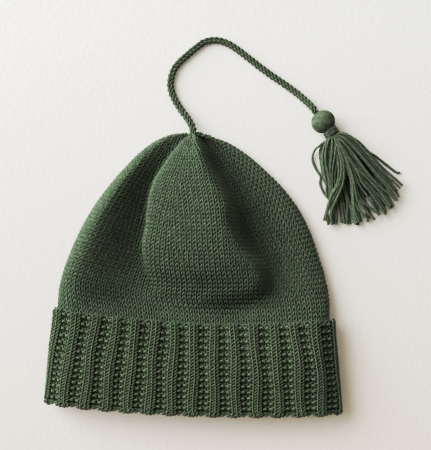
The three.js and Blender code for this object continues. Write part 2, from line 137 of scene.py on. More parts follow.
class Tree:
    """A node tree with short ways to add nodes and to feed their inputs."""

    MIX_COLOURS = slice(6, 8)
    MIX_RESULT = 2

    def __init__(self, tree: bpy.types.NodeTree) -> None:
        """Keep the tree that the nodes go into."""
        self.tree = tree

    def feed(self, socket: Socket, value: object) -> None:
        """Link an output to an input, or set the input's value.

        Args:
            socket: the input.
            value: the output or the value.
        """
        if isinstance(value, Socket):
            self.tree.links.new(value, socket)
        else:
            socket.default_value = value

    def add(
        self, kind: str, values: dict[str, object] | None = None, **settings: object
    ) -> bpy.types.Node:
        """Add one node.

        Args:
            kind: the node's type.
            values: what feeds its inputs, by input name.
            settings: the node's own properties.

        Returns:
            The node.
        """
        node = self.tree.nodes.new(kind)
        for name, value in settings.items():
            setattr(node, name, value)
        for name, value in (values or {}).items():
            self.feed(node.inputs[name], value)
        return node

    def made(
        self, kind: str, values: dict[str, object] | None = None, **settings: object
    ) -> Socket:
        """Add one node and give its first output."""
        return self.add(kind, values, **settings).outputs[0]

    def worked(self, node: bpy.types.Node, *terms: object) -> Socket:
        """Feed a node's inputs in their order.

        Args:
            node: the node.
            terms: what feeds its inputs.

        Returns:
            Its first output.
        """
        for socket, term in zip(node.inputs, terms):
            self.feed(socket, term)
        return node.outputs[0]

    def math(self, operation: str, *terms: object) -> Socket:
        """Work with numbers and give the result."""
        return self.worked(self.add("ShaderNodeMath", operation=operation), *terms)

    def vector(self, operation: str, *terms: object) -> Socket:
        """Work with vectors and give the result."""
        return self.worked(self.add("ShaderNodeVectorMath", operation=operation), *terms)

    def scaled(self, vector: object, factor: object) -> Socket:
        """Give a vector times a number."""
        node = self.add("ShaderNodeVectorMath", {"Scale": factor}, operation="SCALE")
        return self.worked(node, vector)

    def mixed(self, factor: object, first: object, second: object) -> Socket:
        """Give a colour between two colours.

        Args:
            factor: how far it is from the first to the second.
            first: the first colour.
            second: the second colour.

        Returns:
            The colour.
        """
        node = self.add("ShaderNodeMix", {"Factor": factor}, data_type="RGBA")
        for socket, colour in zip(node.inputs[self.MIX_COLOURS], (first, second)):
            self.feed(socket, colour)
        return node.outputs[self.MIX_RESULT]


class YarnNodes:
    """The two trees that turn lines into yarn: one bends a line into stitches, one sweeps it."""

    SWEEP = "yarn_sweep"
    LOOPS = "stitch_loops"
    SHAPE = ("Loop lean", "Loop height", "Loop depth", "Loop skew", "Leg rise")
    YARN = ("Yarn radius", "Sides", "Material")

    @staticmethod
    def _group(name: str, numbers: tuple[str, ...]) -> bpy.types.NodeTree:
        """Start a tree with its named inputs and its output.

        Args:
            name: the tree's name.
            numbers: the names of its inputs for sizes.

        Returns:
            The tree.
        """
        group = bpy.data.node_groups.new(name, "GeometryNodeTree")
        kinds = {
            "Geometry": "NodeSocketGeometry",
            **dict.fromkeys(numbers, "NodeSocketFloat"),
            "Sides": "NodeSocketInt",
            "Material": "NodeSocketMaterial",
        }
        for socket, kind in kinds.items():
            group.interface.new_socket(name=socket, in_out="INPUT", socket_type=kind)
        group.interface.new_socket(
            name="Geometry", in_out="OUTPUT", socket_type="NodeSocketGeometry")
        return group

    @staticmethod
    def _carried(tree: Tree, name: str, kind: str = "FLOAT") -> Socket:
        """Read a number or a direction that a line carries."""
        return tree.made("GeometryNodeInputNamedAttribute", {"Name": name}, data_type=kind)

    @staticmethod
    def _stored(tree: Tree, line: Socket, name: str, value: Socket, kind: str) -> Socket:
        """Let a line carry a number or a direction."""
        values = {"Geometry": line, "Name": name, "Value": value}
        return tree.made("GeometryNodeStoreNamedAttribute", values, data_type=kind, domain="POINT")

    @staticmethod
    def _end(tree: Tree, yarn: Socket, material: Socket) -> None:
        """End a tree with plain geometry in its material.

        Args:
            tree: the tree.
            yarn: what it made.
            material: the material.
        """
        yarn = tree.made("GeometryNodeRealizeInstances", {"Geometry": yarn})
        yarn = tree.made("GeometryNodeSetMaterial", {"Geometry": yarn, "Material": material})
        tree.add("NodeGroupOutput", {"Geometry": yarn})

    @classmethod
    def sweep(cls) -> bpy.types.NodeTree:
        """Build the tree that sweeps a round yarn along every line of a mesh.

        Returns:
            The tree, with inputs for the yarn's radius, its sides and its material.
        """
        if cls.SWEEP in bpy.data.node_groups:
            return bpy.data.node_groups[cls.SWEEP]
        group = cls._group(cls.SWEEP, ("Yarn radius",))
        tree = Tree(group)
        given = tree.add("NodeGroupInput").outputs
        line = tree.made("GeometryNodeMeshToCurve", {"Mesh": given["Geometry"]})
        length = tree.add("GeometryNodeSplineParameter").outputs["Length"]
        line = cls._stored(tree, line, "along", length, "FLOAT")
        sizes = {"Resolution": given["Sides"], "Radius": given["Yarn radius"]}
        circle = tree.made("GeometryNodeCurvePrimitiveCircle", sizes)
        ring = tree.vector("NORMALIZE", tree.made("GeometryNodeInputPosition"))
        circle = cls._stored(tree, circle, "ring", ring, "FLOAT_VECTOR")
        yarn = tree.made("GeometryNodeCurveToMesh", {
            "Curve": line, "Profile Curve": circle, "Scale": cls._carried(tree, "thick"),
            "Fill Caps": True})
        yarn = tree.made("GeometryNodeSetShadeSmooth", {"Geometry": yarn})
        cls._end(tree, yarn, given["Material"])
        return group

    @classmethod
    def loops(cls) -> bpy.types.NodeTree:
        """Build the tree that bends each course line into a row of stitches and sweeps it.

        Returns:
            The tree, with inputs for the shape of a stitch and for the yarn.
        """
        if cls.LOOPS in bpy.data.node_groups:
            return bpy.data.node_groups[cls.LOOPS]
        group = cls._group(cls.LOOPS, (*cls.SHAPE, "Yarn radius"))
        tree = Tree(group)
        given = tree.add("NodeGroupInput").outputs
        lean, height, depth, skew, leg_rise = (given[name] for name in cls.SHAPE)
        numbers = ("phase", "wide", "tall", "side")
        phase, wide, tall, side = (cls._carried(tree, name) for name in numbers)
        arrows = ("round", "up", "out")
        across, up, out = (cls._carried(tree, name, "FLOAT_VECTOR") for name in arrows)
        double = tree.math("MULTIPLY", phase, 2.0)
        sway = tree.math("MULTIPLY", wide, lean)
        sway = tree.math("MULTIPLY", sway, tree.math("SINE", double))
        down = tree.math("MULTIPLY", tree.math("COSINE", phase), -1.0)
        climb = tree.math("MULTIPLY", tree.math("MULTIPLY", tall, height), down)
        sway = tree.math("MULTIPLY_ADD", climb, skew, sway)
        tilt = tree.math("MULTIPLY", tree.math("SINE", phase), leg_rise)
        fall = tree.math("MULTIPLY_ADD", tree.math("COSINE", double), depth, tilt)
        rise = tree.math("MULTIPLY", tree.math("MULTIPLY", fall, side), -1.0)
        offset = tree.vector("ADD", tree.scaled(across, sway), tree.scaled(up, climb))
        offset = tree.vector("ADD", offset, tree.scaled(out, rise))
        placed = {"Geometry": given["Geometry"], "Offset": offset}
        swept = tree.add("GeometryNodeGroup", node_tree=cls.sweep())
        tree.feed(swept.inputs["Geometry"], tree.made("GeometryNodeSetPosition", placed))
        for name in cls.YARN:
            tree.feed(swept.inputs[name], given[name])
        cls._end(tree, swept.outputs[0], given["Material"])
        return group


@dataclass
class Lines:
    """Lines in space that carry numbers and directions at each of their points."""

    points: list[np.ndarray]
    closed: bool
    carried: dict[str, list[np.ndarray]]

    def mesh(self, name: str) -> bpy.types.Mesh:
        """Make a mesh of edges from the lines.

        Args:
            name: the mesh's name.

        Returns:
            The mesh, with one attribute for each thing carried.
        """
        mesh = bpy.data.meshes.new(name)
        places = np.concatenate(self.points)
        edges = []
        first = 0
        for line in self.points:
            index = np.arange(first, first + len(line))
            pairs = np.stack([index, np.roll(index, -1)], axis=1)
            edges.append(pairs if self.closed else pairs[:-1])
            first += len(line)
        edges = np.concatenate(edges)
        mesh.vertices.add(len(places))
        mesh.vertices.foreach_set("co", places.astype(np.float32).ravel())
        mesh.edges.add(len(edges))
        mesh.edges.foreach_set("vertices", edges.astype(np.int32).ravel())
        for key, values in self.carried.items():
            flat = np.concatenate(values).astype(np.float32)
            kind, field = ("FLOAT_VECTOR", "vector") if flat.ndim == 2 else ("FLOAT", "value")
            layer = mesh.attributes.new(key, kind, "POINT")
            layer.data.foreach_set(field, flat.ravel())
        mesh.update()
        return mesh

    def realise(
        self, name: str, group: bpy.types.NodeTree, inputs: dict[str, object]
    ) -> Piece:
        """Run a tree on the lines and keep what it makes as a plain mesh.

        Args:
            name: the piece's name.
            group: the tree.
            inputs: the tree's inputs, by socket name.

        Returns:
            The piece.
        """
        source = bpy.data.objects.new(name + "_lines", self.mesh(name + "_lines"))
        bpy.context.scene.collection.objects.link(source)
        modifier = source.modifiers.new("yarn", "NODES")
        modifier.node_group = group
        for item in group.interface.items_tree:
            if item.in_out == "INPUT" and item.name in inputs:
                modifier[item.identifier] = inputs[item.name]
        graph = bpy.context.evaluated_depsgraph_get()
        mesh = bpy.data.meshes.new_from_object(
            source.evaluated_get(graph), preserve_all_data_layers=True, depsgraph=graph)
        source.modifiers.remove(modifier)
        bpy.data.objects.remove(source)
        for key in self.carried:
            if key in mesh.attributes:
                mesh.attributes.remove(mesh.attributes[key])
        mesh.name = name
        return link_piece(name, mesh, inputs["Material"])


def link_piece(name: str, mesh: bpy.types.Mesh, material: bpy.types.Material) -> Piece:
    """Put a mesh into the scene as a piece with one material.

    Args:
        name: the piece's name.
        mesh: its mesh.
        material: its finish.

    Returns:
        The piece.
    """
    if not mesh.materials:
        mesh.materials.append(material)
    piece = bpy.data.objects.new(name, mesh)
    bpy.context.scene.collection.objects.link(piece)
    return piece


def grid_mesh(name: str, places: np.ndarray, material: bpy.types.Material) -> Piece:
    """Make a tube-like skin from rings of points, each ring closed on itself.

    Args:
        name: the piece's name.
        places: points by ring and by place in the ring.
        material: its finish.

    Returns:
        The piece.
    """
    rings, count = places.shape[:2]
    ring = np.arange(rings - 1)[:, None]
    step = np.arange(count)[None, :]
    here = ring * count + step
    ahead = ring * count + (step + 1) % count
    quads = np.stack([here, ahead, ahead + count, here + count], axis=-1).reshape(-1, 4)
    mesh = bpy.data.meshes.new(name)
    mesh.from_pydata(places.reshape(-1, 3).tolist(), [], quads.tolist())
    mesh.polygons.foreach_set("use_smooth", np.ones(len(quads), dtype=bool))
    mesh.update()
    return link_piece(name, mesh, material)


def join(name: str, pieces: list[Piece]) -> Piece:
    """Join pieces into the first of them.

    Args:
        name: the joined piece's name.
        pieces: the pieces, the one to keep first.

    Returns:
        The joined piece.
    """
    kept = pieces[0]
    with bpy.context.temp_override(
        active_object=kept, object=kept, selected_objects=pieces, selected_editable_objects=pieces
    ):
        bpy.ops.object.join()
    kept.name = name
    kept.data.name = name
    return kept


def triangles(piece: Piece) -> int:
    """Count a piece's triangles."""
    return sum(len(face.vertices) - 2 for face in piece.data.polygons)


def smooth_columns(table: np.ndarray, shares: np.ndarray) -> np.ndarray:
    """Read a table's columns between its rows, on smooth curves.

    Args:
        table: rows of numbers, with the share first.
        shares: the places to read.

    Returns:
        One row for each share, without the share.
    """
    at = table[:, 0]
    values = table[:, 1:]
    gap = np.diff(at)[:, None]
    slope = np.diff(values, axis=0) / gap
    tangent = np.empty_like(values)
    tangent[0] = slope[0]
    tangent[-1] = slope[-1]
    tangent[1:-1] = (slope[:-1] * gap[1:] + slope[1:] * gap[:-1]) / (gap[:-1] + gap[1:])
    row = np.clip(np.searchsorted(at, shares, side="right") - 1, 0, len(at) - 2)
    width = gap[row]
    t = (shares[:, None] - at[row][:, None]) / width
    square = t * t
    cube = square * t
    start = (2.0 * cube - 3.0 * square + 1.0) * values[row]
    leave = (cube - 2.0 * square + t) * width * tangent[row]
    end = (3.0 * square - 2.0 * cube) * values[row + 1]
    arrive = (cube - square) * width * tangent[row + 1]
    return start + leave + end + arrive


def catmull(points: np.ndarray, steps: int, closed: bool) -> np.ndarray:
    """Run a smooth curve through points.

    Args:
        points: the points, on the last axis but one.
        steps: how many places to give for each span.
        closed: whether the curve returns to its start.

    Returns:
        Places along the curve.
    """
    if closed:
        before, after, beyond = (np.roll(points, shift, axis=-2) for shift in (1, -1, -2))
        here = points
    else:
        first = 2.0 * points[:1] - points[1:2]
        last = 2.0 * points[-1:] - points[-2:-1]
        ends = np.concatenate([first, points, last])
        before, here, after, beyond = ends[:-3], ends[1:-2], ends[2:-1], ends[3:]
    t = (np.arange(steps) / steps)[:, None]
    a, b, c, d = (span[..., None, :] for span in (before, here, after, beyond))
    curve = 0.5 * (2.0 * b + (c - a) * t
                   + (2.0 * a - 5.0 * b + 4.0 * c - d) * t ** 2
                   + (3.0 * b - a - 3.0 * c + d) * t ** 3)
    curve = curve.reshape(*curve.shape[:-3], -1, curve.shape[-1])
    return curve if closed else np.concatenate([curve, points[-1:]])


def unit(vectors: np.ndarray) -> np.ndarray:
    """Give vectors of length one."""
    return vectors / np.maximum(np.linalg.norm(vectors, axis=-1, keepdims=True), TINY)


def square_to(vectors: np.ndarray, normals: np.ndarray) -> np.ndarray:
    """Give vectors of length one, leant until they are square to others."""
    return unit(vectors - normals * np.sum(vectors * normals, axis=1, keepdims=True))


def around(angle: np.ndarray, across: np.ndarray, over: np.ndarray) -> np.ndarray:
    """Give directions round an axis.

    Args:
        angle: how far round each one is.
        across: the direction at no turn.
        over: the direction at a quarter turn.

    Returns:
        The directions.
    """
    return across * np.cos(angle)[..., None] + over * np.sin(angle)[..., None]


def even_spacing(line: np.ndarray, count: int) -> np.ndarray:
    """Give a line again with evenly spaced points.

    Args:
        line: the line's points.
        count: how many points to give.

    Returns:
        The points.
    """
    run = np.concatenate([[0.0], np.cumsum(np.linalg.norm(np.diff(line, axis=0), axis=1))])
    at = np.linspace(0.0, run[-1], count)
    return np.stack([np.interp(at, run, values) for values in line.T], axis=1)


@dataclass
class CapForm:
    """The outer face of the crown's wall and of the cuff's inner layer, as the cap lies.

    A place on it is a turn, from 0 under the middle once round to 1, and a share, from the fold
    to the tip.
    """

    rows: int = 380
    columns: int = 1120
    span_steps: int = 48
    margin: float = 0.001
    reading_step: float = 0.006

    def __post_init__(self) -> None:
        """Work out the points and the outward directions on a fine grid, in metres."""
        self.shares = np.linspace(FOLD_SHARE, 1.0, self.rows)
        plan = smooth_columns(PLAN, self.shares)
        folds = smooth_columns(FOLDS, self.shares)
        section = catmull(self._knots(plan, folds), self.span_steps, closed=True)
        y_mid, y_side, x_mid, slant, half = (column[:, None] for column in plan.T[:5])
        side = np.clip(section[..., 0] / half, -1.0, 1.0)
        along = y_mid + (y_side - y_mid) * side ** 2 + slant * side
        places = np.stack(
            [x_mid + section[..., 0], along, np.maximum(section[..., 1], 0.0)], axis=-1)
        self.points = np.empty((self.rows, self.columns, 3))
        self.perimeter = np.empty(self.rows)
        for row, ring in enumerate(places):
            spaced = even_spacing(np.concatenate([ring, ring[:1]]), self.columns + 1)
            self.points[row] = spaced[:-1] * MM
            self.perimeter[row] = np.linalg.norm(np.diff(spaced, axis=0), axis=1).sum() * MM
        rounds = np.roll(self.points, -1, axis=1) - np.roll(self.points, 1, axis=1)
        self.normals = unit(np.cross(np.gradient(self.points, axis=0), rounds))

    @staticmethod
    def _knots(plan: np.ndarray, folds: np.ndarray) -> np.ndarray:
        """Place each section's knots, from under its middle up the right side and down the left.

        Args:
            plan: one row of the plan for each section.
            folds: one row of the folds for each section.

        Returns:
            The knots by section, as x and z in millimetres.
        """
        half, edge_left, edge_right, base = plan[:, 4:].T
        (lobe_left, valley_left, valley_left_z, ridge_left, ridge_left_z, ridge_mid_z,
         ridge_right, ridge_right_z, valley_right, valley_right_z, lobe_right) = folds.T
        inner, outer = (share * half for share in UNDERSIDE_SHARES)
        lobe = LOBE_SHARE * half
        knots = [
            (0.0 * half, base), (inner, base), (outer, base),
            (half, edge_right), (lobe, lobe_right),
            (valley_right, valley_right_z), (ridge_right, ridge_right_z),
            (0.5 * (ridge_right + ridge_left), ridge_mid_z),
            (ridge_left, ridge_left_z), (valley_left, valley_left_z),
            (-lobe, lobe_left), (-half, edge_left),
            (-outer, base), (-inner, base),
        ]
        return np.stack([np.stack(knot, axis=-1) for knot in knots], axis=1)

    def _read(self, grid: np.ndarray, turn: np.ndarray, share: np.ndarray) -> np.ndarray:
        """Read a grid between its places.

        Args:
            grid: vectors by row and by column.
            turn: how far round.
            share: how far from the fold to the tip.

        Returns:
            The vectors there.
        """
        column = np.mod(turn, 1.0) * self.columns
        left = np.floor(column).astype(int) % self.columns
        right = (left + 1) % self.columns
        across = (column - np.floor(column))[..., None]
        last = self.rows - 1
        place = (share - FOLD_SHARE) / (1.0 - FOLD_SHARE) * last
        place = np.clip(place, 0.0, last - self.margin)
        row = np.floor(place).astype(int)
        along = (place - row)[..., None]
        low = grid[row, left] * (1.0 - across) + grid[row, right] * across
        high = grid[row + 1, left] * (1.0 - across) + grid[row + 1, right] * across
        return low * (1.0 - along) + high * along

    def place(
        self, turn: np.ndarray, share: np.ndarray, offset: np.ndarray | float
    ) -> np.ndarray:
        """Give points off the face.

        Args:
            turn: how far round.
            share: how far from the fold to the tip.
            offset: how far outside the face, in metres.

        Returns:
            The points.
        """
        lift = self.out(turn, share) * np.asarray(offset)[..., None]
        return self._read(self.points, turn, share) + lift

    def out(self, turn: np.ndarray, share: np.ndarray) -> np.ndarray:
        """Give the outward directions at places on the face."""
        return unit(self._read(self.normals, turn, share))

    def up(self, turn: np.ndarray, share: np.ndarray) -> np.ndarray:
        """Give how the face runs towards the tip.

        Args:
            turn: how far round.
            share: how far from the fold to the tip.

        Returns:
            Vectors in metres for each unit of share.
        """
        low = np.maximum(share - self.reading_step, FOLD_SHARE)
        high = np.minimum(share + self.reading_step, 1.0)
        rise = self._read(self.points, turn, high) - self._read(self.points, turn, low)
        return rise / (high - low)[..., None]

    def girth(self, share: float) -> float:
        """Give the length once round the face."""
        return float(np.interp(share, self.shares, self.perimeter))


def opaque(colour: Colour) -> tuple[float, ...]:
    """Give a colour that lets no light through."""
    return (*colour, 1.0)


@dataclass(frozen=True)
class Finish:
    """A finish that is built once and then given again."""

    name: str

    def material(self) -> bpy.types.Material:
        """Build the finish, or give it again.

        Returns:
            The material.
        """
        if self.name in bpy.data.materials:
            return bpy.data.materials[self.name]
        material = bpy.data.materials.new(self.name)
        material.use_nodes = True
        tree = Tree(material.node_tree)
        shader = material.node_tree.nodes["Principled BSDF"]
        for socket, value in self.shading(tree).items():
            tree.feed(shader.inputs[socket], value)
        return material

    def shading(self, tree: Tree) -> dict[str, object]:
        """Give what feeds the shader, by input name."""
        raise NotImplementedError


@dataclass(frozen=True)
class YarnFinish(Finish):
    """Wool yarn: plies that twist, fibres along them, a heathered colour, and painted shade in the
    grooves between the plies.
    """

    # The colour of the painted shade in the ply grooves
    deep: Colour
    body: Colour
    light: Colour
    plies: int = 3
    twist_pitch: float = 0.0055
    ply_depth: float = 0.00022
    ply_strength: float = 0.8
    # How far the painted shade darkens the grooves between the plies towards the deep colour
    groove: float = 0.55
    fibre_round: float = 3.0
    fibre_along: float = 900.0
    fibre_scale: float = 1.6
    fibre_detail: float = 2.0
    fibre_depth: float = 0.00010
    fibre_strength: float = 0.7
    heather_scale: float = 420.0
    heather_detail: float = 3.0
    heather_roughness: float = 0.65
    heather_span: tuple[float, float] = (0.34, 0.66)
    roughness: float = 0.92
    specular: float = 0.2
    sheen: float = 0.12
    sheen_roughness: float = 0.5

    def material(self) -> bpy.types.Material:
        """Build the finish with its plain colour, or give it again.

        Returns:
            The material.
        """
        material = super().material()
        material.diffuse_color = opaque(self.body)
        return material

    def shading(self, tree: Tree) -> dict[str, object]:
        """Work out the yarn's colour and its relief.

        Args:
            tree: the material's tree.

        Returns:
            What feeds the shader, by input name.
        """
        ring = tree.add("ShaderNodeAttribute", attribute_name="ring").outputs["Vector"]
        along = tree.add("ShaderNodeAttribute", attribute_name="along").outputs["Fac"]
        parts = tree.add("ShaderNodeSeparateXYZ", {"Vector": ring}).outputs
        angle = tree.math("ARCTAN2", parts["Y"], parts["X"])
        turn = tree.math("MULTIPLY", along, TAU / self.twist_pitch)
        ply = tree.math("SINE", tree.math("MULTIPLY_ADD", angle, float(self.plies), turn))
        ply = tree.math("MULTIPLY_ADD", ply, 0.5, 0.5)
        place = tree.made("ShaderNodeCombineXYZ", {
            "X": tree.math("MULTIPLY", parts["X"], self.fibre_round),
            "Y": tree.math("MULTIPLY", parts["Y"], self.fibre_round),
            "Z": tree.math("MULTIPLY", along, self.fibre_along)})
        fibre = tree.made("ShaderNodeTexNoise", {
            "Vector": place, "Scale": self.fibre_scale, "Detail": self.fibre_detail})
        spot = tree.add("ShaderNodeTexCoord").outputs["Object"]
        heather = tree.made("ShaderNodeTexNoise", {
            "Vector": spot, "Scale": self.heather_scale, "Detail": self.heather_detail,
            "Roughness": self.heather_roughness})
        low, high = self.heather_span
        heather = tree.made("ShaderNodeMapRange", {
            "Value": heather, "From Min": low, "From Max": high})
        colour = tree.mixed(heather, opaque(self.body), opaque(self.light))
        # Painted shade: the grooves between the plies darken towards the deep colour
        groove = tree.math("MULTIPLY", tree.math("SUBTRACT", 1.0, ply), self.groove)
        relief = tree.made("ShaderNodeBump", {
            "Height": ply, "Strength": self.ply_strength, "Distance": self.ply_depth})
        relief = tree.made("ShaderNodeBump", {
            "Height": fibre, "Strength": self.fibre_strength, "Distance": self.fibre_depth,
            "Normal": relief})
        return {
            "Base Color": tree.mixed(groove, colour, opaque(self.deep)),
            "Roughness": self.roughness,
            "Specular IOR Level": self.specular,
            "Sheen Weight": self.sheen,
            "Sheen Roughness": self.sheen_roughness,
            "Sheen Tint": opaque(self.light),
            "Normal": relief,
        }


@dataclass(frozen=True)
class ShadeBackingFinish(Finish):
    """Painted shade: the dark inside of the knitting behind the stitches, and the dark cores and
    sheets between strands.
    """

    colour: Colour
    shade: float = 0.45
    grain_scale: float = 500.0
    grain_detail: float = 3.0
    grain_strength: float = 0.8
    grain_depth: float = 0.0006
    roughness: float = 0.95
    specular: float = 0.1

    def shading(self, tree: Tree) -> dict[str, object]:
        """Work out the grain's colour and its relief.

        Args:
            tree: the material's tree.

        Returns:
            What feeds the shader, by input name.
        """
        spot = tree.add("ShaderNodeTexCoord").outputs["Object"]
        grain = tree.made("ShaderNodeTexNoise", {
            "Vector": spot, "Scale": self.grain_scale, "Detail": self.grain_detail})
        dark = tuple(self.shade * part for part in self.colour)
        relief = tree.made("ShaderNodeBump", {
            "Height": grain, "Strength": self.grain_strength, "Distance": self.grain_depth})
        return {
            "Base Color": tree.mixed(grain, opaque(dark), opaque(self.colour)),
            "Roughness": self.roughness,
            "Specular IOR Level": self.specular,
            "Normal": relief,
        }


@dataclass(frozen=True)
class ClothFinish(Finish):
    """The pale napped cloth of the floor, with painted shade that makes it darker and warmer
    towards the viewer, and a painted glow that lifts its shadows.
    """

    name: str = "floor_cloth"
    far: Colour = (0.80, 0.79, 0.765)
    # The painted shade colour nearest the viewer
    painted_shade_near: Colour = (0.675, 0.625, 0.575)
    span: tuple[float, float] = (-0.12, 0.18)
    # A painted glow that lifts the floor's shadows
    painted_glow: float = 0.10
    nap_scale: float = 260.0
    nap_detail: float = 4.0
    nap_roughness: float = 0.6
    nap_distortion: float = 0.6
    nap_strength: float = 0.3
    nap_depth: float = 0.0012
    roughness: float = 0.95
    specular: float = 0.1

    def shading(self, tree: Tree) -> dict[str, object]:
        """Work out the cloth's colour and its nap.

        Args:
            tree: the material's tree.

        Returns:
            What feeds the shader, by input name.
        """
        spot = tree.add("ShaderNodeTexCoord").outputs["Object"]
        nap = tree.made("ShaderNodeTexNoise", {
            "Vector": spot, "Scale": self.nap_scale, "Detail": self.nap_detail,
            "Roughness": self.nap_roughness, "Distortion": self.nap_distortion})
        # Painted shade: the cloth darkens and warms towards the viewer
        back = tree.add("ShaderNodeSeparateXYZ", {"Vector": spot}).outputs["Y"]
        low, high = self.span
        back = tree.made("ShaderNodeMapRange", {
            "Value": back, "From Min": low, "From Max": high})
        colour = tree.mixed(back, opaque(self.painted_shade_near), opaque(self.far))
        relief = tree.made("ShaderNodeBump", {
            "Height": nap, "Strength": self.nap_strength, "Distance": self.nap_depth})
        return {
            "Base Color": colour,
            # Painted glow: the cloth glows a little, which lifts its shadows
            "Emission Color": colour,
            "Emission Strength": self.painted_glow,
            "Roughness": self.roughness,
            "Specular IOR Level": self.specular,
            "Normal": relief,
        }


# Each yarn's deep colour is painted shade for its ply grooves; its body and light colours are its
# heathered tones
CROWN_YARN = YarnFinish(
    "crown_wool", (0.030, 0.057, 0.022), (0.110, 0.148, 0.100), (0.184, 0.219, 0.178))
CUFF_YARN = YarnFinish(
    "cuff_wool", (0.033, 0.060, 0.022), (0.124, 0.163, 0.106), (0.202, 0.235, 0.190))
CORD_YARN = YarnFinish(
    "cord_wool", (0.030, 0.055, 0.022), (0.106, 0.140, 0.094), (0.182, 0.210, 0.172))
TASSEL_YARN = YarnFinish(
    "tassel_wool", (0.025, 0.046, 0.018), (0.106, 0.142, 0.094), (0.192, 0.222, 0.182))
# Painted shade: dark skins that stand for the yarn behind the stitches, which lies in shade
SHADE_BACKING = ShadeBackingFinish("knit_shade", (0.017, 0.032, 0.012))
CROWN_SHADE_BACKING = ShadeBackingFinish("crown_shade", (0.048, 0.080, 0.038))


@dataclass(frozen=True)
class Stitch:
    """The shape of one stitch, as shares of its width and its row, with the yarn in metres."""

    lean: float
    height: float
    depth: float
    skew: float
    yarn: float
    leg_bias: float = 0.0
    leg_rise: float = 0.0
    bead: float = 0.0
    points: int = 10
    sides: int = 5

    def reach(self) -> float:
        """Give how far the yarn stands out from the middle of the wall."""
        plump = 1.0 + max(self.bead, abs(self.leg_bias))
        return self.depth + abs(self.leg_rise) + self.yarn * plump

    def within(self) -> np.ndarray:
        """Give how far through a stitch each of its points is."""
        return np.arange(self.points) / self.points

    def phases(self, count: int) -> np.ndarray:
        """Give how far through its stitch each point of a row is, as angles."""
        return TAU * (np.arange(count)[:, None] + self.within()).ravel()

    def thickness(self, phase: np.ndarray, side: np.ndarray) -> np.ndarray:
        """Give the yarn's thickness along a row: plump legs, and plump heads on the purl face.

        Args:
            phase: how far through its stitch each point is.
            side: which face each point shows.

        Returns:
            Shares of the yarn's radius.
        """
        plain = 1.0 + self.leg_bias * np.sin(phase)
        purl = 1.0 - self.bead * np.cos(phase)
        return np.where(side >= 0.0, plain, purl)

    def inputs(self, material: bpy.types.Material) -> dict[str, object]:
        """Give the values of the stitch tree's inputs.

        Args:
            material: the yarn's finish.

        Returns:
            The values, by socket name.
        """
        shape = (self.lean, self.height, self.depth, self.skew, self.leg_rise)
        yarn = (self.yarn, self.sides, material)
        return dict(zip(YarnNodes.SHAPE + YarnNodes.YARN, shape + yarn))


@dataclass
class Course:
    """One row of stitches along a line on the knitting."""

    points: np.ndarray
    phase: np.ndarray
    round: np.ndarray
    up: np.ndarray
    out: np.ndarray
    wide: np.ndarray
    tall: np.ndarray
    side: np.ndarray

    CARRIED = ("phase", "round", "up", "out", "wide", "tall", "side")


def knit(
    name: str, courses: list[Course], stitch: Stitch, material: bpy.types.Material,
    closed: bool = True,
) -> Piece:
    """Knit courses into one piece.

    Args:
        name: the piece's name.
        courses: the rows of stitches.
        stitch: the shape of a stitch.
        material: the yarn's finish.
        closed: whether each row goes all the way round.

    Returns:
        The piece.
    """
    carried = {key: [getattr(course, key) for course in courses] for key in Course.CARRIED}
    carried["thick"] = [stitch.thickness(course.phase, course.side) for course in courses]
    lines = Lines([course.points for course in courses], closed, carried)
    return lines.realise(name, YarnNodes.loops(), stitch.inputs(material))


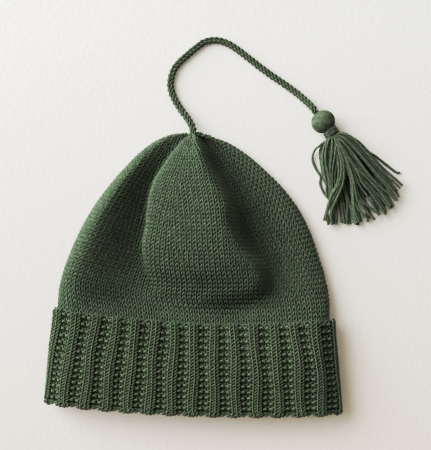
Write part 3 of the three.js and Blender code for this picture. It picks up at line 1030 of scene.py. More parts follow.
@dataclass
class Crown:
    """The plain-knitted dome: rows of stitches that lessen towards the tip."""

    form: CapForm
    rows: int = 56
    first_share: float = -0.05
    last_share: float = 0.992
    tip_share: float = 0.937
    tip_rows: int = 6
    most_stitches: int = 112
    sectors: int = 8
    sector_turn: float = 0.05
    stitch_width: float = 3.75 * MM
    give: int = 3
    stitch: Stitch = Stitch(
        lean=0.24, height=0.70, depth=0.85 * MM, skew=-0.20, yarn=0.72 * MM, leg_bias=0.10,
        leg_rise=0.15 * MM, points=9)
    unevenness: float = 0.16
    tallest: float = 3.2 * MM
    fade_rows: float = 4.0
    wall: float = WALL * MM
    backing_grid: tuple[int, int] = (48, 128)
    backing_depths: tuple[float, float] = (0.48, 0.62)
    pieces: tuple[str, ...] = ("crown_knit_low", "crown_knit_middle", "crown_knit_top")
    seed: int = 11

    def _shares(self) -> np.ndarray:
        """Place the rows, closer together where the crown is gathered at the tip.

        Returns:
            Each row's share.
        """
        even = np.linspace(self.first_share, self.last_share, self.rows)
        low = even[even < self.tip_share]
        return np.concatenate([low, np.linspace(low[-1], self.last_share, self.tip_rows + 1)[1:]])

    def _bounds(self, share: float) -> np.ndarray:
        """Place the edges of one row's stitches, as turns from the first sector's edge.

        Args:
            share: the row's share.

        Returns:
            The edges, from 0 to 1.
        """
        girth = self.form.girth(share)
        full = self.most_stitches // self.sectors
        count = min(full, max(1, round(girth / self.sectors / self.stitch_width)))
        sector = 1.0 / self.sectors
        width = sector / count if count == full else self.stitch_width / girth
        widths = np.full(count, width)
        last = min(self.give, count)
        widths[-last:] += (sector - widths.sum()) / last
        return np.concatenate([[0.0], np.cumsum(np.tile(widths, self.sectors))])

    def _course(self, share: float, step: float, chance: np.random.Generator) -> Course:
        """Work out one row.

        Args:
            share: the row's share.
            step: how far apart the rows are there, as a share.
            chance: the source of chance.

        Returns:
            The row.
        """
        edges = self._bounds(share)
        widths = np.diff(edges)
        count = len(widths)
        turn = (edges[:-1, None] + widths[:, None] * self.stitch.within()).ravel()
        turn = turn + self.sector_turn
        shares = np.full(len(turn), share)
        up = self.form.up(turn, shares)
        out = self.form.out(turn, shares)
        grow = square_to(up, out)
        uneven = 1.0 + self.unevenness * chance.standard_normal(count)
        fade = min(1.0, (1.0 - share) / (self.fade_rows * step))
        points = self.form.place(turn, shares, -0.5 * self.wall)
        points[:, 2] = np.maximum(points[:, 2], self.stitch.reach())
        tall = np.minimum(np.linalg.norm(up, axis=1) * step, self.tallest) * fade
        return Course(
            points=points,
            phase=self.stitch.phases(count),
            round=np.cross(out, grow),
            up=grow,
            out=out,
            wide=np.repeat(widths * self.form.girth(share) * uneven, self.stitch.points),
            tall=tall * np.repeat(uneven, self.stitch.points),
            side=np.full(len(turn), Face.PLAIN.value * fade),
        )

    def courses(self) -> list[Course]:
        """Work out every row.

        Returns:
            The rows, from the cuff to the tip.
        """
        chance = np.random.default_rng(self.seed)
        rows = self._shares()
        return [self._course(share, step, chance) for share, step in zip(rows, np.gradient(rows))]

    def shade_backing(self) -> Piece:
        """Make the skin behind the stitches, so that no light shows between them; its dark colour
        is painted shade for the yarn behind.

        Returns:
            The skin.
        """
        rows, columns = self.backing_grid
        turn, share = np.meshgrid(
            np.arange(columns) / columns, np.linspace(SEAM_SHARE, 1.0, rows))
        outer, inner = (
            self.form.place(turn, share, -depth * self.wall) for depth in self.backing_depths)
        rings = np.concatenate([outer, inner[::-1], outer[:1]])
        return grid_mesh("crown_shade_backing", rings, CROWN_SHADE_BACKING.material())

    def build(self) -> list[Piece]:
        """Knit the crown.

        Returns:
            Its pieces.
        """
        courses = self.courses()
        sizes = np.cumsum([len(course.points) for course in courses])
        parts = (sizes / sizes[-1] * len(self.pieces) - NUDGE).astype(int)
        made = []
        for index, name in enumerate(self.pieces):
            rows = [course for course, part in zip(courses, parts) if part == index]
            made.append(knit(name, rows, self.stitch, CROWN_YARN.material()))
        made.append(self.shade_backing())
        for piece in made:
            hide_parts("crown")
        return made


@dataclass
class Cuff:
    """The ribbed band: an outer layer, the fold at the mouth, and the layer inside.

    A run is a place along the band: 0 at the top edge, 1 at the fold, 2 where the inner layer
    starts, 3 at its end.
    """

    form: CapForm
    outer_rows: int = 28
    fold_rows: int = 3
    inner_rows: int = 4
    inner_rows_in_all: int = 27
    first_row: float = 0.6
    spare_row: float = 0.4
    knit_share: float = 0.44
    rib_lift: float = 0.70 * MM
    rib_wall: float = 1.8
    rib_tilt: float = 0.05
    rib_turn: float = -0.0076
    rib_lean: float = 0.014
    lean_turn: float = 0.25
    lean_power: int = 4
    rib_sway: float = 0.0011
    sway_waves: int = 10
    sway_turns: float = 1.3
    purl_lean: float = 0.35
    sink: float = 0.36 * MM
    stitch: Stitch = Stitch(
        lean=0.34, height=0.72, depth=0.74 * MM, skew=-0.55, yarn=0.60 * MM, leg_bias=0.02,
        leg_rise=0.16 * MM, bead=0.68)
    outer: float = (LAYER_GAP + 0.5 * WALL) * MM
    inner: float = -0.5 * WALL * MM
    unevenness: float = 0.10
    backing_points: int = 2
    backing_rows: tuple[int, int, int] = (18, 6, 14)
    backing_ends: tuple[float, float] = (0.012, 2.98)
    backing_above: float = 0.1 * MM
    backing_below: float = 0.6 * MM
    pieces: tuple[str, ...] = ("cuff_knit_edge", "cuff_knit_middle", "cuff_knit_fold")
    seed: int = 23

    RUNS = (0.0, 1.0, 2.0, 3.0)
    RUN_SHARES = (0.0, FOLD_SHARE, FOLD_SHARE, SEAM_SHARE)

    def _lift(self, rib: np.ndarray) -> np.ndarray:
        """Give how far the knitting stands out.

        Args:
            rib: where each point is, counted in ribs.

        Returns:
            How far each point stands out, in metres.
        """
        away = np.mod(rib - 0.5 * self.knit_share - self.rib_tilt + 0.5, 1.0) - 0.5
        wave = np.tanh(self.rib_wall * np.cos(TAU * away))
        return self.rib_lift * wave / math.tanh(self.rib_wall)

    def _turned(self, turn: np.ndarray, run: float) -> np.ndarray:
        """Give where the ribs lie along one row: those on the left lean in towards the top edge.

        Args:
            turn: how far round each point is at the fold.
            run: the row's run.

        Returns:
            How far round each point is in that row.
        """
        sway = np.sin(TAU * (self.sway_waves * turn + self.sway_turns * run))
        turned = turn + self.rib_turn + self.rib_sway * sway
        left = np.sin(math.pi * (turned - self.lean_turn)) ** self.lean_power
        return turned - self.rib_lean * max(1.0 - run, 0.0) * left

    def _surface(
        self, turn: np.ndarray, run: float, lift: np.ndarray
    ) -> tuple[np.ndarray, np.ndarray, np.ndarray]:
        """Give the middle of the band's wall along one row.

        Args:
            turn: how far round each point is.
            run: the row's run.
            lift: how far each point stands out.

        Returns:
            Points, the way that the knitting grows, and the outward directions.
        """
        share = np.full(len(turn), np.interp(run, self.RUNS, self.RUN_SHARES))
        normal = self.form.out(turn, share)
        up = unit(self.form.up(turn, share))
        angle = math.pi * min(max(run - 1.0, 0.0), 1.0)
        middle = 0.5 * (self.outer + self.inner)
        reach = 0.5 * (self.outer - self.inner)
        out = normal * math.cos(angle) - up * math.sin(angle)
        grow = up * math.cos(angle) + normal * math.sin(angle)
        points = self.form.place(turn, share, middle) + out * (reach + lift)[:, None]
        return points, grow, out

    def _runs(self) -> np.ndarray:
        """Place the rows.

        Returns:
            Each row's run.
        """
        outer = (np.arange(self.outer_rows) + self.first_row) / (self.outer_rows + self.spare_row)
        fold = 1.0 + (np.arange(self.fold_rows) + 0.5) / self.fold_rows
        inner = 2.0 + (np.arange(self.inner_rows) + 0.5) / self.inner_rows_in_all
        return np.concatenate([outer, fold, inner])

    def _course(
        self, row: int, runs: tuple[float, float], ribs: np.ndarray, widths: np.ndarray,
        chance: np.random.Generator,
    ) -> Course:
        """Work out one row.

        Args:
            row: which row it is, from the top edge.
            runs: its run and the next row's.
            ribs: where each point is, counted in ribs.
            widths: how wide each point's stitch is, as a turn.
            chance: the source of chance.

        Returns:
            The row.
        """
        run, next_run = runs
        count = RIBS * RIB_STITCHES
        lift = self._lift(ribs)
        turn = self._turned(ribs / RIBS, run)
        face = np.full((RIBS, RIB_STITCHES), Face.PLAIN.value)
        face[:, RIB_STITCHES // 2:] = Face.PURL.value if row % 2 else Face.BEHIND.value
        face = face.ravel()
        side = np.repeat(face, self.stitch.points)
        sunk = lift - self.sink * (side == Face.BEHIND.value)
        points, grow, out = self._surface(turn, run, sunk)
        points[:, 2] = np.maximum(points[:, 2], self.stitch.reach())
        side[::self.stitch.points] = 0.5 * (face + np.roll(face, 1))
        tall = np.linalg.norm(self._surface(turn, next_run, lift)[0] - points, axis=1)
        uneven = 1.0 + self.unevenness * chance.standard_normal(count)
        uneven = np.repeat(uneven, self.stitch.points)
        grow = square_to(grow, out)
        wide = widths * self.form.girth(min(run, 1.0) * FOLD_SHARE) * uneven
        return Course(
            points=points,
            phase=self.stitch.phases(count),
            round=np.cross(out, grow),
            up=grow,
            out=out,
            wide=wide * np.where(side < 0.0, self.purl_lean, 1.0),
            tall=tall * uneven,
            side=side,
        )

    def courses(self) -> list[Course]:
        """Work out every row.

        Returns:
            The rows, from the top edge over the fold.
        """
        chance = np.random.default_rng(self.seed)
        plain = self.knit_share
        edges = np.array([0.0, 0.5 * plain, plain, 0.5 * (1.0 + plain), 1.0])
        widths = np.diff(edges)
        rib = (edges[:-1, None] + widths[:, None] * self.stitch.within()).ravel()
        ribs = (np.arange(RIBS)[:, None] + rib).ravel()
        widths = np.tile(np.repeat(widths, self.stitch.points), RIBS) / RIBS
        runs = self._runs()
        beyond = np.append(runs[1:], 2.0 * runs[-1] - runs[-2])
        return [self._course(row, pair, ribs, widths, chance)
                for row, pair in enumerate(zip(runs, beyond))]

    def shade_backing(self) -> Piece:
        """Make the skin behind the stitches, and the inner layer's face with its ribs, both dark
        with painted shade.

        Returns:
            The skin.
        """
        count = RIBS * RIB_STITCHES * self.backing_points
        turn = np.arange(count) / count
        lift = self._lift(turn * RIBS)
        outer, fold, inner = self.backing_rows
        first, last = self.backing_ends
        runs = np.concatenate([
            np.linspace(first, 1.0, outer),
            np.linspace(1.0, 2.0, fold)[1:],
            np.linspace(2.0, last, inner)[1:],
        ])
        outside = []
        inside = []
        for run in runs:
            points, _, out = self._surface(self._turned(turn, run), run, lift)
            outside.append(points + out * self.backing_above)
            inside.append(points - out * self.backing_below)
        rings = np.stack(outside + inside[::-1] + outside[:1])
        return grid_mesh("cuff_shade_backing", rings[::-1], SHADE_BACKING.material())

    def build(self) -> list[Piece]:
        """Knit the cuff.

        Returns:
            Its pieces.
        """
        courses = self.courses()
        each = math.ceil(len(courses) / len(self.pieces))
        made = []
        for index, name in enumerate(self.pieces):
            rows = courses[index * each:(index + 1) * each]
            made.append(knit(name, rows, self.stitch, CUFF_YARN.material()))
        made.append(self.shade_backing())
        for piece in made:
            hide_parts("cuff")
        return made


@dataclass
class Cord:
    """The round knitted cord from the tip of the crown to the tassel."""

    diameter: float = 4.6 * MM
    ring: float = 1.42 * MM
    stitches: int = 3
    row: float = 3.5 * MM
    stitch: Stitch = Stitch(
        lean=0.26, height=0.66, depth=0.22 * MM, skew=-0.55, yarn=0.72 * MM, leg_bias=0.12)
    span_steps: int = 16
    # The radius of the painted shade core inside the stitches
    core: float = 1.05 * MM
    core_rings: int = 140
    core_sides: int = 8

    def line(self) -> np.ndarray:
        """Give the cord's middle line as close points."""
        return catmull(CORD_ROUTE, self.span_steps, closed=False)

    @staticmethod
    def length(line: np.ndarray) -> float:
        """Give a line's length."""
        return float(np.linalg.norm(np.diff(line, axis=0), axis=1).sum())

    def _frames(self, count: int) -> tuple[np.ndarray, np.ndarray, np.ndarray, np.ndarray]:
        """Space points evenly on the line.

        Args:
            count: how many points.

        Returns:
            The points, and at each the directions along the line, across it and over it.
        """
        points = even_spacing(self.line(), count)
        ahead = unit(np.gradient(points, axis=0))
        across = unit(np.cross(ahead, UPWARD))
        return points, ahead, across, np.cross(across, ahead)

    def course(self) -> Course:
        """Wind one long row of stitches round the line.

        Returns:
            The row.
        """
        turns = self.length(self.line()) / self.row
        per_turn = self.stitches * self.stitch.points
        count = int(turns * per_turn)
        points, ahead, across, over = self._frames(count)
        angle = TAU * np.arange(count) / per_turn
        out = around(angle, across, over)
        return Course(
            points=points + out * self.ring,
            phase=angle * self.stitches,
            round=np.cross(out, ahead),
            up=ahead,
            out=out,
            wide=np.full(count, TAU * self.ring / self.stitches),
            tall=np.full(count, self.row),
            side=np.full(count, Face.PLAIN.value),
        )

    def build(self, on_it: list[Piece]) -> Piece:
        """Knit the cord and attach it to the cap's body.

        Args:
            on_it: the pieces on its far end; not used.

        Returns:
            The cord.
        """
        piece = knit("cord_knit", [self.course()], self.stitch, CORD_YARN.material(), closed=False)
        # The core is painted shade: a dark tube inside the stitches, where the cord's inside lies
        # in shade
        points, _, across, over = self._frames(self.core_rings)
        angle = TAU * np.arange(self.core_sides) / self.core_sides
        rings = points[:, None] + self.core * around(angle, across[:, None], over[:, None])
        core = grid_mesh("cord_shade_core", rings, SHADE_BACKING.material())
        piece = join("cord_knit", [piece, core])
        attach(piece, BODY)
        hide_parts("cord")
        return piece


@dataclass(frozen=True)
class TasselAxis:
    """Where the tassel lies and the yarn that it is made of, in millimetres."""

    ball: Point = (95.3, 111.1, 9.0)
    turn: float = math.radians(-55.0)
    yarn: float = 0.94
    sides: int = 6

    def ways(self) -> tuple[np.ndarray, np.ndarray, np.ndarray]:
        """Give the tassel's own directions.

        Returns:
            The directions along it, across it and up.
        """
        ahead = np.array([math.cos(self.turn), math.sin(self.turn), 0.0])
        across = np.array([-math.sin(self.turn), math.cos(self.turn), 0.0])
        return ahead, across, UPWARD

    def round_it(self, along: np.ndarray, angle: np.ndarray, reach: np.ndarray) -> np.ndarray:
        """Give points round the tassel's middle line.

        Args:
            along: how far each is past the ball's middle.
            angle: how far round it is.
            reach: how far off the line it is.

        Returns:
            The points.
        """
        ahead, across, over = self.ways()
        stem = np.array(self.ball) + ahead * along[..., None]
        return stem + around(angle, across, over) * reach[..., None]

    def sweep(self, name: str, lines: list[np.ndarray], thick: list[np.ndarray]) -> Piece:
        """Sweep yarn along lines.

        Args:
            name: the piece's name.
            lines: the lines.
            thick: shares of the yarn's radius along each line.

        Returns:
            The piece.
        """
        bundle = Lines([line * MM for line in lines], False, {"thick": thick})
        yarn = (self.yarn * MM, self.sides, TASSEL_YARN.material())
        return bundle.realise(name, YarnNodes.sweep(), dict(zip(YarnNodes.YARN, yarn)))


@dataclass
class TasselBall:
    """The ball: strands from pole to pole over a dark core of painted shade, in millimetres."""

    axis: TasselAxis
    radius: float = 8.9
    inset: float = 0.9
    strands: int = 46
    points: int = 26
    arc: tuple[float, float] = (0.07, 0.80)
    twist: float = 0.5
    overlap: float = 1.6
    thinnest: float = 0.25
    neck_radius: float = 3.6
    neck_inset: float = 1.2
    neck_from: float = 0.92
    core_lift: float = 0.15
    core_gap: float = 0.02
    core_grid: tuple[int, int] = (20, 28)

    def _winding(self) -> Piece:
        """Wind the strands, which end at the neck.

        Returns:
            The winding.
        """
        inner = self.radius - self.inset
        t = np.linspace(0.0, 1.0, self.points)
        start, arc = self.arc
        polar = math.pi * (start + arc * t)
        neck = np.where(t > self.neck_from, self.neck_radius - self.neck_inset, 0.0)
        reach = np.maximum(inner * np.sin(polar), neck)
        along = -inner * np.cos(polar)
        turns = (TAU * strand / self.strands for strand in range(self.strands))
        lines = [self.axis.round_it(along, turn + self.twist * t, reach) for turn in turns]
        thick = self.overlap * math.pi * reach / self.strands / self.axis.yarn
        thick = np.clip(thick, self.thinnest, 1.0)
        return self.axis.sweep("tassel_ball", lines, [thick] * len(lines))

    def _shade_core(self) -> Piece:
        """Make the core, painted shade that shows dark between the strands.

        Returns:
            The core.
        """
        rings, sides = self.core_grid
        polar = np.linspace(self.core_gap, math.pi - self.core_gap, rings)[:, None]
        radius = self.radius - self.inset + self.core_lift
        skin = self.axis.round_it(
            -radius * np.cos(polar), TAU * np.arange(sides) / sides, radius * np.sin(polar))
        return grid_mesh("ball_shade_core", skin * MM, SHADE_BACKING.material())

    def build(self) -> Piece:
        """Make the ball.

        Returns:
            The ball.
        """
        piece = join("tassel_ball", [self._winding(), self._shade_core()])
        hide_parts("tassel_head")
        return piece


@dataclass
class TasselBinding:
    """The turns of yarn round the neck, in millimetres."""

    axis: TasselAxis
    turns: int = 4
    points: int = 26
    thick: float = 0.54
    reach: float = 5.2
    ripple: float = 0.12
    waves: float = 1.7
    span: tuple[float, float] = (7.5, 12.3)

    def build(self) -> Piece:
        """Wind the binding.

        Returns:
            The binding.
        """
        t = np.linspace(0.0, 1.0, self.turns * self.points)
        angle = TAU * self.turns * t
        reach = self.reach + self.ripple * np.sin(self.waves * angle)
        line = self.axis.round_it(np.interp(t, (0.0, 1.0), self.span), angle, reach)
        piece = self.axis.sweep("tassel_wraps", [line], [np.full(len(t), self.thick)])
        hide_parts("tassel_binding")
        return piece


@dataclass
class TasselSkirt:
    """The loose strands below the binding, in millimetres.

    Layers of strands fan out below, the strands on top lie over them, and a few lie apart.
    """

    axis: TasselAxis
    start: float = 11.4
    layer_counts: tuple[int, ...] = (18, 14, 11)
    layer_inset: float = 0.06
    shoulder_heights: tuple[float, ...] = (1.6, 3.6, 6.2)
    end_heights: tuple[float, ...] = (1.1, 2.2, 3.4)
    height_chance: float = 0.35
    place_chance: float = 0.5
    wander: float = 0.022
    clumps: tuple[float, ...] = (0.05, 0.13, 0.36, 0.47, 0.60, 0.73, 0.86, 0.98)
    gather: float = 0.45
    gather_power: float = 1.5
    end_cut: float = 0.055
    cut_weight: float = 3.4
    curve_steps: int = 14
    layer_points: int = 30
    stray_points: int = 34
    top_points: int = 36
    top_heights: tuple[float, ...] = (11.6, 13.9, 12.4, 9.4, 6.0)
    top_spread: float = 3.0
    top_gap: float = 2.4
    top_gap_range: tuple[float, float] = (0.7, 1.3)
    top_sway: float = 1.0
    top_waves: float = 5.0
    top_third: float = 0.5
    top_drop: tuple[float, float] = (0.8, 2.6)
    drop_fade: float = 0.5
    shade_inset: float = 0.11
    shade_points: int = 9
    shade_height: float = 0.4
    lowest: float = 1.0
    longest: float = 90.8
    ragged: float = 3.6
    swell: float = 0.06
    swell_waves: float = 9.0
    swell_shift: float = 6.0
    seed: int = 5

    # The fan of strands seen from above: five guides from the left edge to the right one
    GUIDES = np.array([
        [[101.6, 98.6], [97.2, 96.6], [92.3, 91.0], [93.6, 72.5], [100.2, 54.5], [98.4, 36.8]],
        [[102.3, 99.0], [100.3, 95.6], [98.8, 89.5], [101.5, 72.0], [106.0, 54.0], [107.4, 35.0]],
        [[103.2, 99.5], [104.8, 95.4], [106.6, 90.0], [111.4, 73.0], [117.6, 53.8], [122.2, 34.4]],
        [[104.0, 100.1], [108.2, 97.4], [113.6, 93.2], [124.6, 77.0], [135.2, 57.8], [143.8, 41.8]],
        [[104.8, 101.2], [110.8, 102.0], [117.4, 100.6], [131.0, 89.4], [143.4, 73.6],
         [153.8, 58.0]],
    ])

    # Where the guides' points are along a strand, and how far it may wander at each
    PLACES = np.array([0.0, 0.05, 0.16, 0.40, 0.72, 1.0])
    WANDERS = np.array([0.2, 0.3, 0.6, 1.0, 1.2, 1.3])

    # A strand's height at each point: shares of the ball's, the shoulder's and the end's height,
    # then millimetres
    HEIGHTS = np.array([
        [1.0, 0.35, 0.0, -2.45],
        [0.45, 0.55, 0.0, 0.0],
        [0.0, 1.0, 0.0, 0.0],
        [0.0, 0.75, 0.25, 0.0],
        [0.0, 0.35, 0.65, 0.0],
        [0.0, 0.0, 1.0, 0.0],
    ])

    # Where along a strand on top its heights are
    TOP_PLACES = (0.0, 0.14, 0.35, 0.65, 1.0)

    # How thick the painted shade sheet is at each of the guides' points but the last
    SHADE_THICK = (0.0, 0.8, 0.8, 0.8, 0.0)

    # Strands that lie apart from the rest, as x, y and z
    STRAYS = (
        [[101.5, 98.8, 8.0], [96.4, 96.4, 7.4], [92.4, 93.4, 5.4], [89.4, 90.6, 3.4],
         [88.0, 84.0, 1.8], [90.8, 76.6, 1.1], [94.0, 71.6, 1.1], [93.4, 66.4, 1.1],
         [95.8, 60.0, 1.1], [100.8, 53.6, 1.2]],
        [[104.8, 101.0, 8.0], [112.0, 101.4, 8.6], [121.6, 96.8, 6.0], [129.2, 89.6, 3.6],
         [135.0, 86.4, 1.6], [142.4, 80.6, 1.1], [150.0, 74.8, 1.1], [152.8, 74.6, 1.1]],
    )

    # The strands that lie on top, as x and y, from the left to the right
    TOPS = (
        [[100.2, 99.4], [97.0, 91.0], [96.4, 80.9], [98.8, 69.4], [100.9, 56.2]],
        [[101.2, 99.6], [101.0, 88.4], [99.8, 75.6], [100.7, 63.0], [101.4, 55.4]],
        [[103.0, 98.9], [103.8, 88.4], [102.4, 75.6], [101.3, 63.0], [101.1, 55.2]],
        [[103.4, 99.0], [105.6, 88.0], [107.4, 80.0], [108.0, 71.3], [106.2, 63.0],
         [102.0, 54.9], [97.2, 37.8]],
        [[103.6, 99.0], [107.0, 88.6], [109.6, 79.0], [109.2, 65.6], [103.3, 51.8],
         [100.3, 44.2], [101.0, 35.4]],
        [[103.8, 99.0], [109.0, 88.0], [114.0, 78.0], [116.8, 67.4], [117.0, 56.7],
         [117.1, 47.3], [119.8, 36.8]],
        [[102.9, 99.3], [106.0, 88.4], [110.4, 79.5], [113.7, 73.2], [119.4, 68.8],
         [127.1, 65.0], [134.1, 62.6]],
        [[103.8, 99.1], [111.0, 84.0], [116.0, 70.0], [119.0, 54.9], [124.1, 47.3], [133.0, 39.2]],
        [[104.0, 99.4], [113.0, 84.0], [119.0, 75.0], [123.7, 65.5], [130.2, 58.0], [140.6, 42.8]],
        [[104.0, 99.6], [111.1, 85.8], [118.6, 76.9], [127.5, 68.1], [136.5, 58.0], [145.2, 47.4]],
        [[104.2, 100.2], [113.6, 90.9], [121.1, 82.1], [130.0, 70.7], [139.6, 59.9], [149.6, 50.4]],
        [[104.4, 100.4], [109.4, 98.6], [117.0, 92.0], [126.2, 82.0], [136.0, 70.6], [152.4, 51.8]],
        [[104.6, 101.0], [109.2, 101.4], [117.4, 96.6], [127.4, 86.6], [138.2, 75.2],
         [151.8, 62.4]],
    )

    def _spread(self, spots: np.ndarray | float, place: int) -> np.ndarray:
        """Give points across the fan, between its guides.

        Args:
            spots: how far across, from 0 at the left edge to 1 at the right one.
            place: which of the guides' points.

        Returns:
            Their x and y.
        """
        fans = np.linspace(0.0, 1.0, len(self.GUIDES))
        guides = self.GUIDES[:, place].T
        return np.stack([np.interp(spots, fans, values) for values in guides], axis=-1)

    def _smooth(self, knots: np.ndarray, count: int) -> np.ndarray:
        """Run a strand through knots and give it evenly spaced points."""
        return even_spacing(catmull(knots, self.curve_steps, closed=False), count)

    def _layer_strand(
        self, fan: float, tall: np.ndarray, chance: np.random.Generator
    ) -> np.ndarray:
        """Run one strand of a layer, drawn towards the nearest clump.

        Args:
            fan: how far across the fan it starts.
            tall: its height at each of the guides' points.
            chance: the source of chance.

        Returns:
            Its line.
        """
        wander = chance.normal(0.0, self.wander, len(self.PLACES)) * self.WANDERS
        clump = min(self.clumps, key=lambda place: abs(place - fan))
        drawn = self.gather * (clump - fan) * self.PLACES ** self.gather_power
        spots = np.clip(fan + wander + drawn, 0.0, 1.0)
        flat = np.stack([self._spread(spot, place) for place, spot in enumerate(spots)])
        short = self.cut_weight * chance.uniform(0.0, self.end_cut)
        flat[-1] = flat[-2] + (flat[-1] - flat[-2]) * (1.0 - short)
        tall = tall + chance.normal(0.0, self.height_chance, len(tall))
        tall = np.maximum(tall, self.lowest)
        return self._smooth(np.concatenate([flat, tall[:, None]], axis=1), self.layer_points)

    def _layers(self, chance: np.random.Generator) -> list[np.ndarray]:
        """Run the strands of the layers, from the lowest layer up.

        Args:
            chance: the source of chance.

        Returns:
            Their lines.
        """
        lines = []
        layers = zip(self.layer_counts, self.shoulder_heights, self.end_heights)
        for layer, (count, shoulder, end) in enumerate(layers):
            inset = self.layer_inset * layer
            tall = self.HEIGHTS @ np.array([self.axis.ball[2], shoulder, end, 1.0])
            for strand in range(count):
                place = strand + 0.5 + self.place_chance * chance.uniform(-1.0, 1.0)
                fan = inset + (1.0 - 2.0 * inset) * place / count
                lines.append(self._layer_strand(fan, tall, chance))
        return lines

    def _tops(self, chance: np.random.Generator) -> list[np.ndarray]:
        """Run the strands on top, each with a neighbour or two, from the binding to their ends.

        Args:
            chance: the source of chance.

        Returns:
            Their lines.
        """
        ahead, across, _ = self.axis.ways()
        root = np.array(self.axis.ball) + ahead * self.start
        place = np.linspace(0.0, 1.0, self.top_points)
        heights = np.interp(place, self.TOP_PLACES, self.top_heights)
        spreads = np.linspace(-self.top_spread, self.top_spread, len(self.TOPS))
        lines = []
        for plan, spread in zip(self.TOPS, spreads):
            first = (root + across * spread)[:2]
            flat = self._smooth(np.array([first, *plan]), self.top_points)
            heading = unit(np.gradient(flat, axis=0))
            sideways = np.stack([-heading[:, 1], heading[:, 0]], axis=1)
            sides = chance.permutation([-1.0, 1.0])
            neighbours = 1 + int(chance.uniform() < self.top_third)
            for side in (0.0, *sides[:neighbours]):
                sway = chance.normal(0.0, self.top_sway)
                sway = sway * np.sin(self.top_waves * place + chance.uniform(0.0, TAU)) * place
                gap = side * self.top_gap * chance.uniform(*self.top_gap_range)
                swing = gap * np.sqrt(place) + sway
                drop = abs(side) * chance.uniform(*self.top_drop)
                tall = heights - drop * (1.0 - self.drop_fade * place)
                moved = flat + sideways * swing[:, None]
                lines.append(np.concatenate([moved, tall[:, None]], axis=1))
        return lines

    @staticmethod
    def _trimmed(line: np.ndarray, longest: float) -> np.ndarray:
        """Cut a strand off where it is too far from the cord's end."""
        return line[np.linalg.norm(line - CORD_ROUTE[-1] / MM, axis=1) <= longest]

    def _shade(self) -> Piece:
        """Lay a low sheet inside the fan's edges, painted shade that shows dark between the
        strands.

        Its rings run from the root outwards, each over the top and back below.

        Returns:
            The sheet.
        """
        spots = np.linspace(self.shade_inset, 1.0 - self.shade_inset, self.shade_points)
        rings = []
        for place, thick in enumerate(self.SHADE_THICK):
            flat = self._spread(spots, place)
            low = np.full((len(flat), 1), self.shade_height)
            top = np.concatenate([flat, low + thick], axis=1)
            below = np.concatenate([flat, low], axis=1)
            rings.append(np.concatenate([top, below[::-1]]))
        return grid_mesh("tassel_shade", np.stack(rings) * MM, SHADE_BACKING.material())

    def build(self) -> Piece:
        """Lay the strands.

        Returns:
            The skirt.
        """
        chance = np.random.default_rng(self.seed)
        lines = self._layers(chance) + self._tops(chance)
        lines += [self._smooth(np.array(knots), self.stray_points) for knots in self.STRAYS]
        for line in lines:
            line[:, 2] = np.maximum(line[:, 2], self.lowest)
        lines = [self._trimmed(line, self.longest - chance.uniform(0.0, self.ragged))
                 for line in lines]
        thick = []
        for line in lines:
            wave = np.linspace(0.0, self.swell_waves, len(line))
            shift = self.swell_shift * chance.uniform()
            thick.append(1.0 + self.swell * np.sin(wave + shift))
        shade = self._shade()
        strands = self.axis.sweep("tassel_strands", lines, thick)
        piece = join("tassel_strands", [strands, shade])
        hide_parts("tassel_skirt")
        return piece


@dataclass
class Tassel:
    """The tassel on the cord: a ball of yarn, a bound neck, and a skirt of loose strands."""

    axis: TasselAxis = TasselAxis()

    def build(self) -> list[Piece]:
        """Make the tassel.

        Returns:
            Its pieces.
        """
        parts = (TasselBall(self.axis), TasselBinding(self.axis), TasselSkirt(self.axis))
        made = [part.build() for part in parts]
        return made


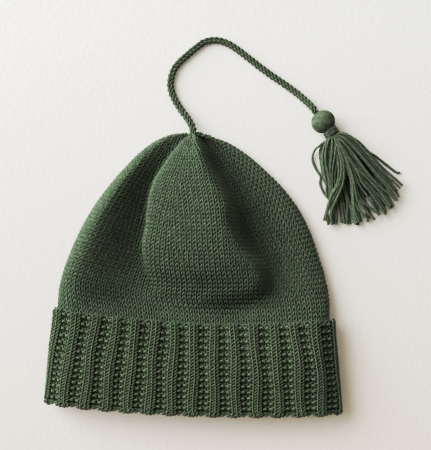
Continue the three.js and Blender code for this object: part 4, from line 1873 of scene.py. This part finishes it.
@dataclass
class Studio:
    """The camera of the photograph, a soft window light, and the pale floor.

    The camera's sizes are in millimetres, the others in metres.
    """

    target: Point = (16.3, 35.7, 0.0)
    distance: float = 650.0
    elevation: float = 85.0
    focal_pixels: float = 882.0
    image_height: float = 450.0
    sensor: float = 36.0
    nearest: float = 0.01
    floor_half: float = 1.6
    key_from: Point = (-1.80, 0.95, 1.28)
    key_size: float = 2.2
    key_power: float = 84.0
    key_colour: Colour = (0.97, 0.99, 1.0)
    ambient: Colour = (1.0, 0.92, 0.74)
    ambient_range: tuple[float, float] = (0.02, 0.38)
    tones: tuple[tuple[float, float], ...] = (
        (0.06, 0.055), (0.13, 0.16), (0.25, 0.44), (0.50, 0.70), (0.80, 0.85))

    ALL_CHANNELS = 3

    def camera(self) -> None:
        """Set the camera at the photograph's angle."""
        data = bpy.data.cameras.new("photo_camera")
        data.sensor_fit = "AUTO"
        data.sensor_width = self.sensor
        data.lens = self.focal_pixels / self.image_height * self.sensor
        data.clip_start = self.nearest
        view = bpy.data.objects.new("photo_camera", data)
        tilt = math.radians(self.elevation)
        x, y, z = self.target
        back, rise = self.distance * math.cos(tilt), self.distance * math.sin(tilt)
        view.location = (x * MM, (y - back) * MM, (z + rise) * MM)
        view.rotation_euler = (math.pi / 2.0 - tilt, 0.0, 0.0)
        bpy.context.scene.collection.objects.link(view)
        bpy.context.scene.camera = view

    def light(self) -> None:
        """Set the window light and the light of the room."""
        data = bpy.data.lights.new("window", "AREA")
        data.shape = "SQUARE"
        data.size = self.key_size
        data.energy = self.key_power
        data.color = self.key_colour
        lamp = bpy.data.objects.new("window", data)
        lamp.location = self.key_from
        aim = np.array([self.target[0] * MM, self.target[1] * MM, 0.0]) - np.array(self.key_from)
        tilt = math.acos(-aim[2] / np.linalg.norm(aim))
        lamp.rotation_euler = (tilt, 0.0, math.atan2(-aim[0], aim[1]))
        bpy.context.scene.collection.objects.link(lamp)
        world = bpy.data.worlds.new("room")
        world.use_nodes = True
        tree = Tree(world.node_tree)
        facing = tree.add("ShaderNodeVectorMath", operation="DOT_PRODUCT")
        sight = tree.add("ShaderNodeTexCoord").outputs["Generated"]
        tree.worked(facing, sight, tuple(unit(np.array(self.key_from))))
        low, high = self.ambient_range
        strength = tree.made("ShaderNodeMapRange", {
            "Value": facing.outputs["Value"], "From Min": -1.0, "From Max": 1.0,
            "To Min": low, "To Max": high})
        sky = world.node_tree.nodes["Background"]
        tree.feed(sky.inputs["Color"], opaque(self.ambient))
        tree.feed(sky.inputs["Strength"], strength)
        bpy.context.scene.world = world

    def develop(self) -> None:
        """Give the picture a small camera's tone curve: pale tones lifted, deep ones kept."""
        view = bpy.context.scene.view_settings
        view.view_transform = "Standard"
        view.use_curve_mapping = True
        curve = view.curve_mapping.curves[self.ALL_CHANNELS]
        for scene, picture in self.tones:
            curve.points.new(scene, picture)
        view.curve_mapping.update()

    def floor(self) -> None:
        """Lay the floor."""
        half = self.floor_half
        corners = [(-half, -half, 0.0), (half, -half, 0.0), (half, half, 0.0), (-half, half, 0.0)]
        mesh = bpy.data.meshes.new("floor")
        mesh.from_pydata(corners, [], [(0, 1, 2, 3)])
        piece = link_piece("floor", mesh, ClothFinish().material())


def main() -> None:
    """Build the scene and report each piece."""
    logging.basicConfig(level=logging.INFO, format="%(name)s: %(message)s")
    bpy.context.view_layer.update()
    studio = Studio()
    studio.camera()
    studio.light()
    studio.develop()
    studio.floor()
    form = CapForm()
    tassel = Tassel().build()
    cord = Cord().build(tassel)
    cap = Crown(form).build() + Cuff(form).build()
    for piece in [*cap, *tassel]:
        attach(piece, BODY)
    total = 0
    for piece in [*cap, cord, *tassel]:
        count = triangles(piece)
        total += count
        LOG.info("%s: %d triangles", piece.name, count)
    LOG.info("all pieces: %d triangles", total)


if __name__ == "__main__":
    main()
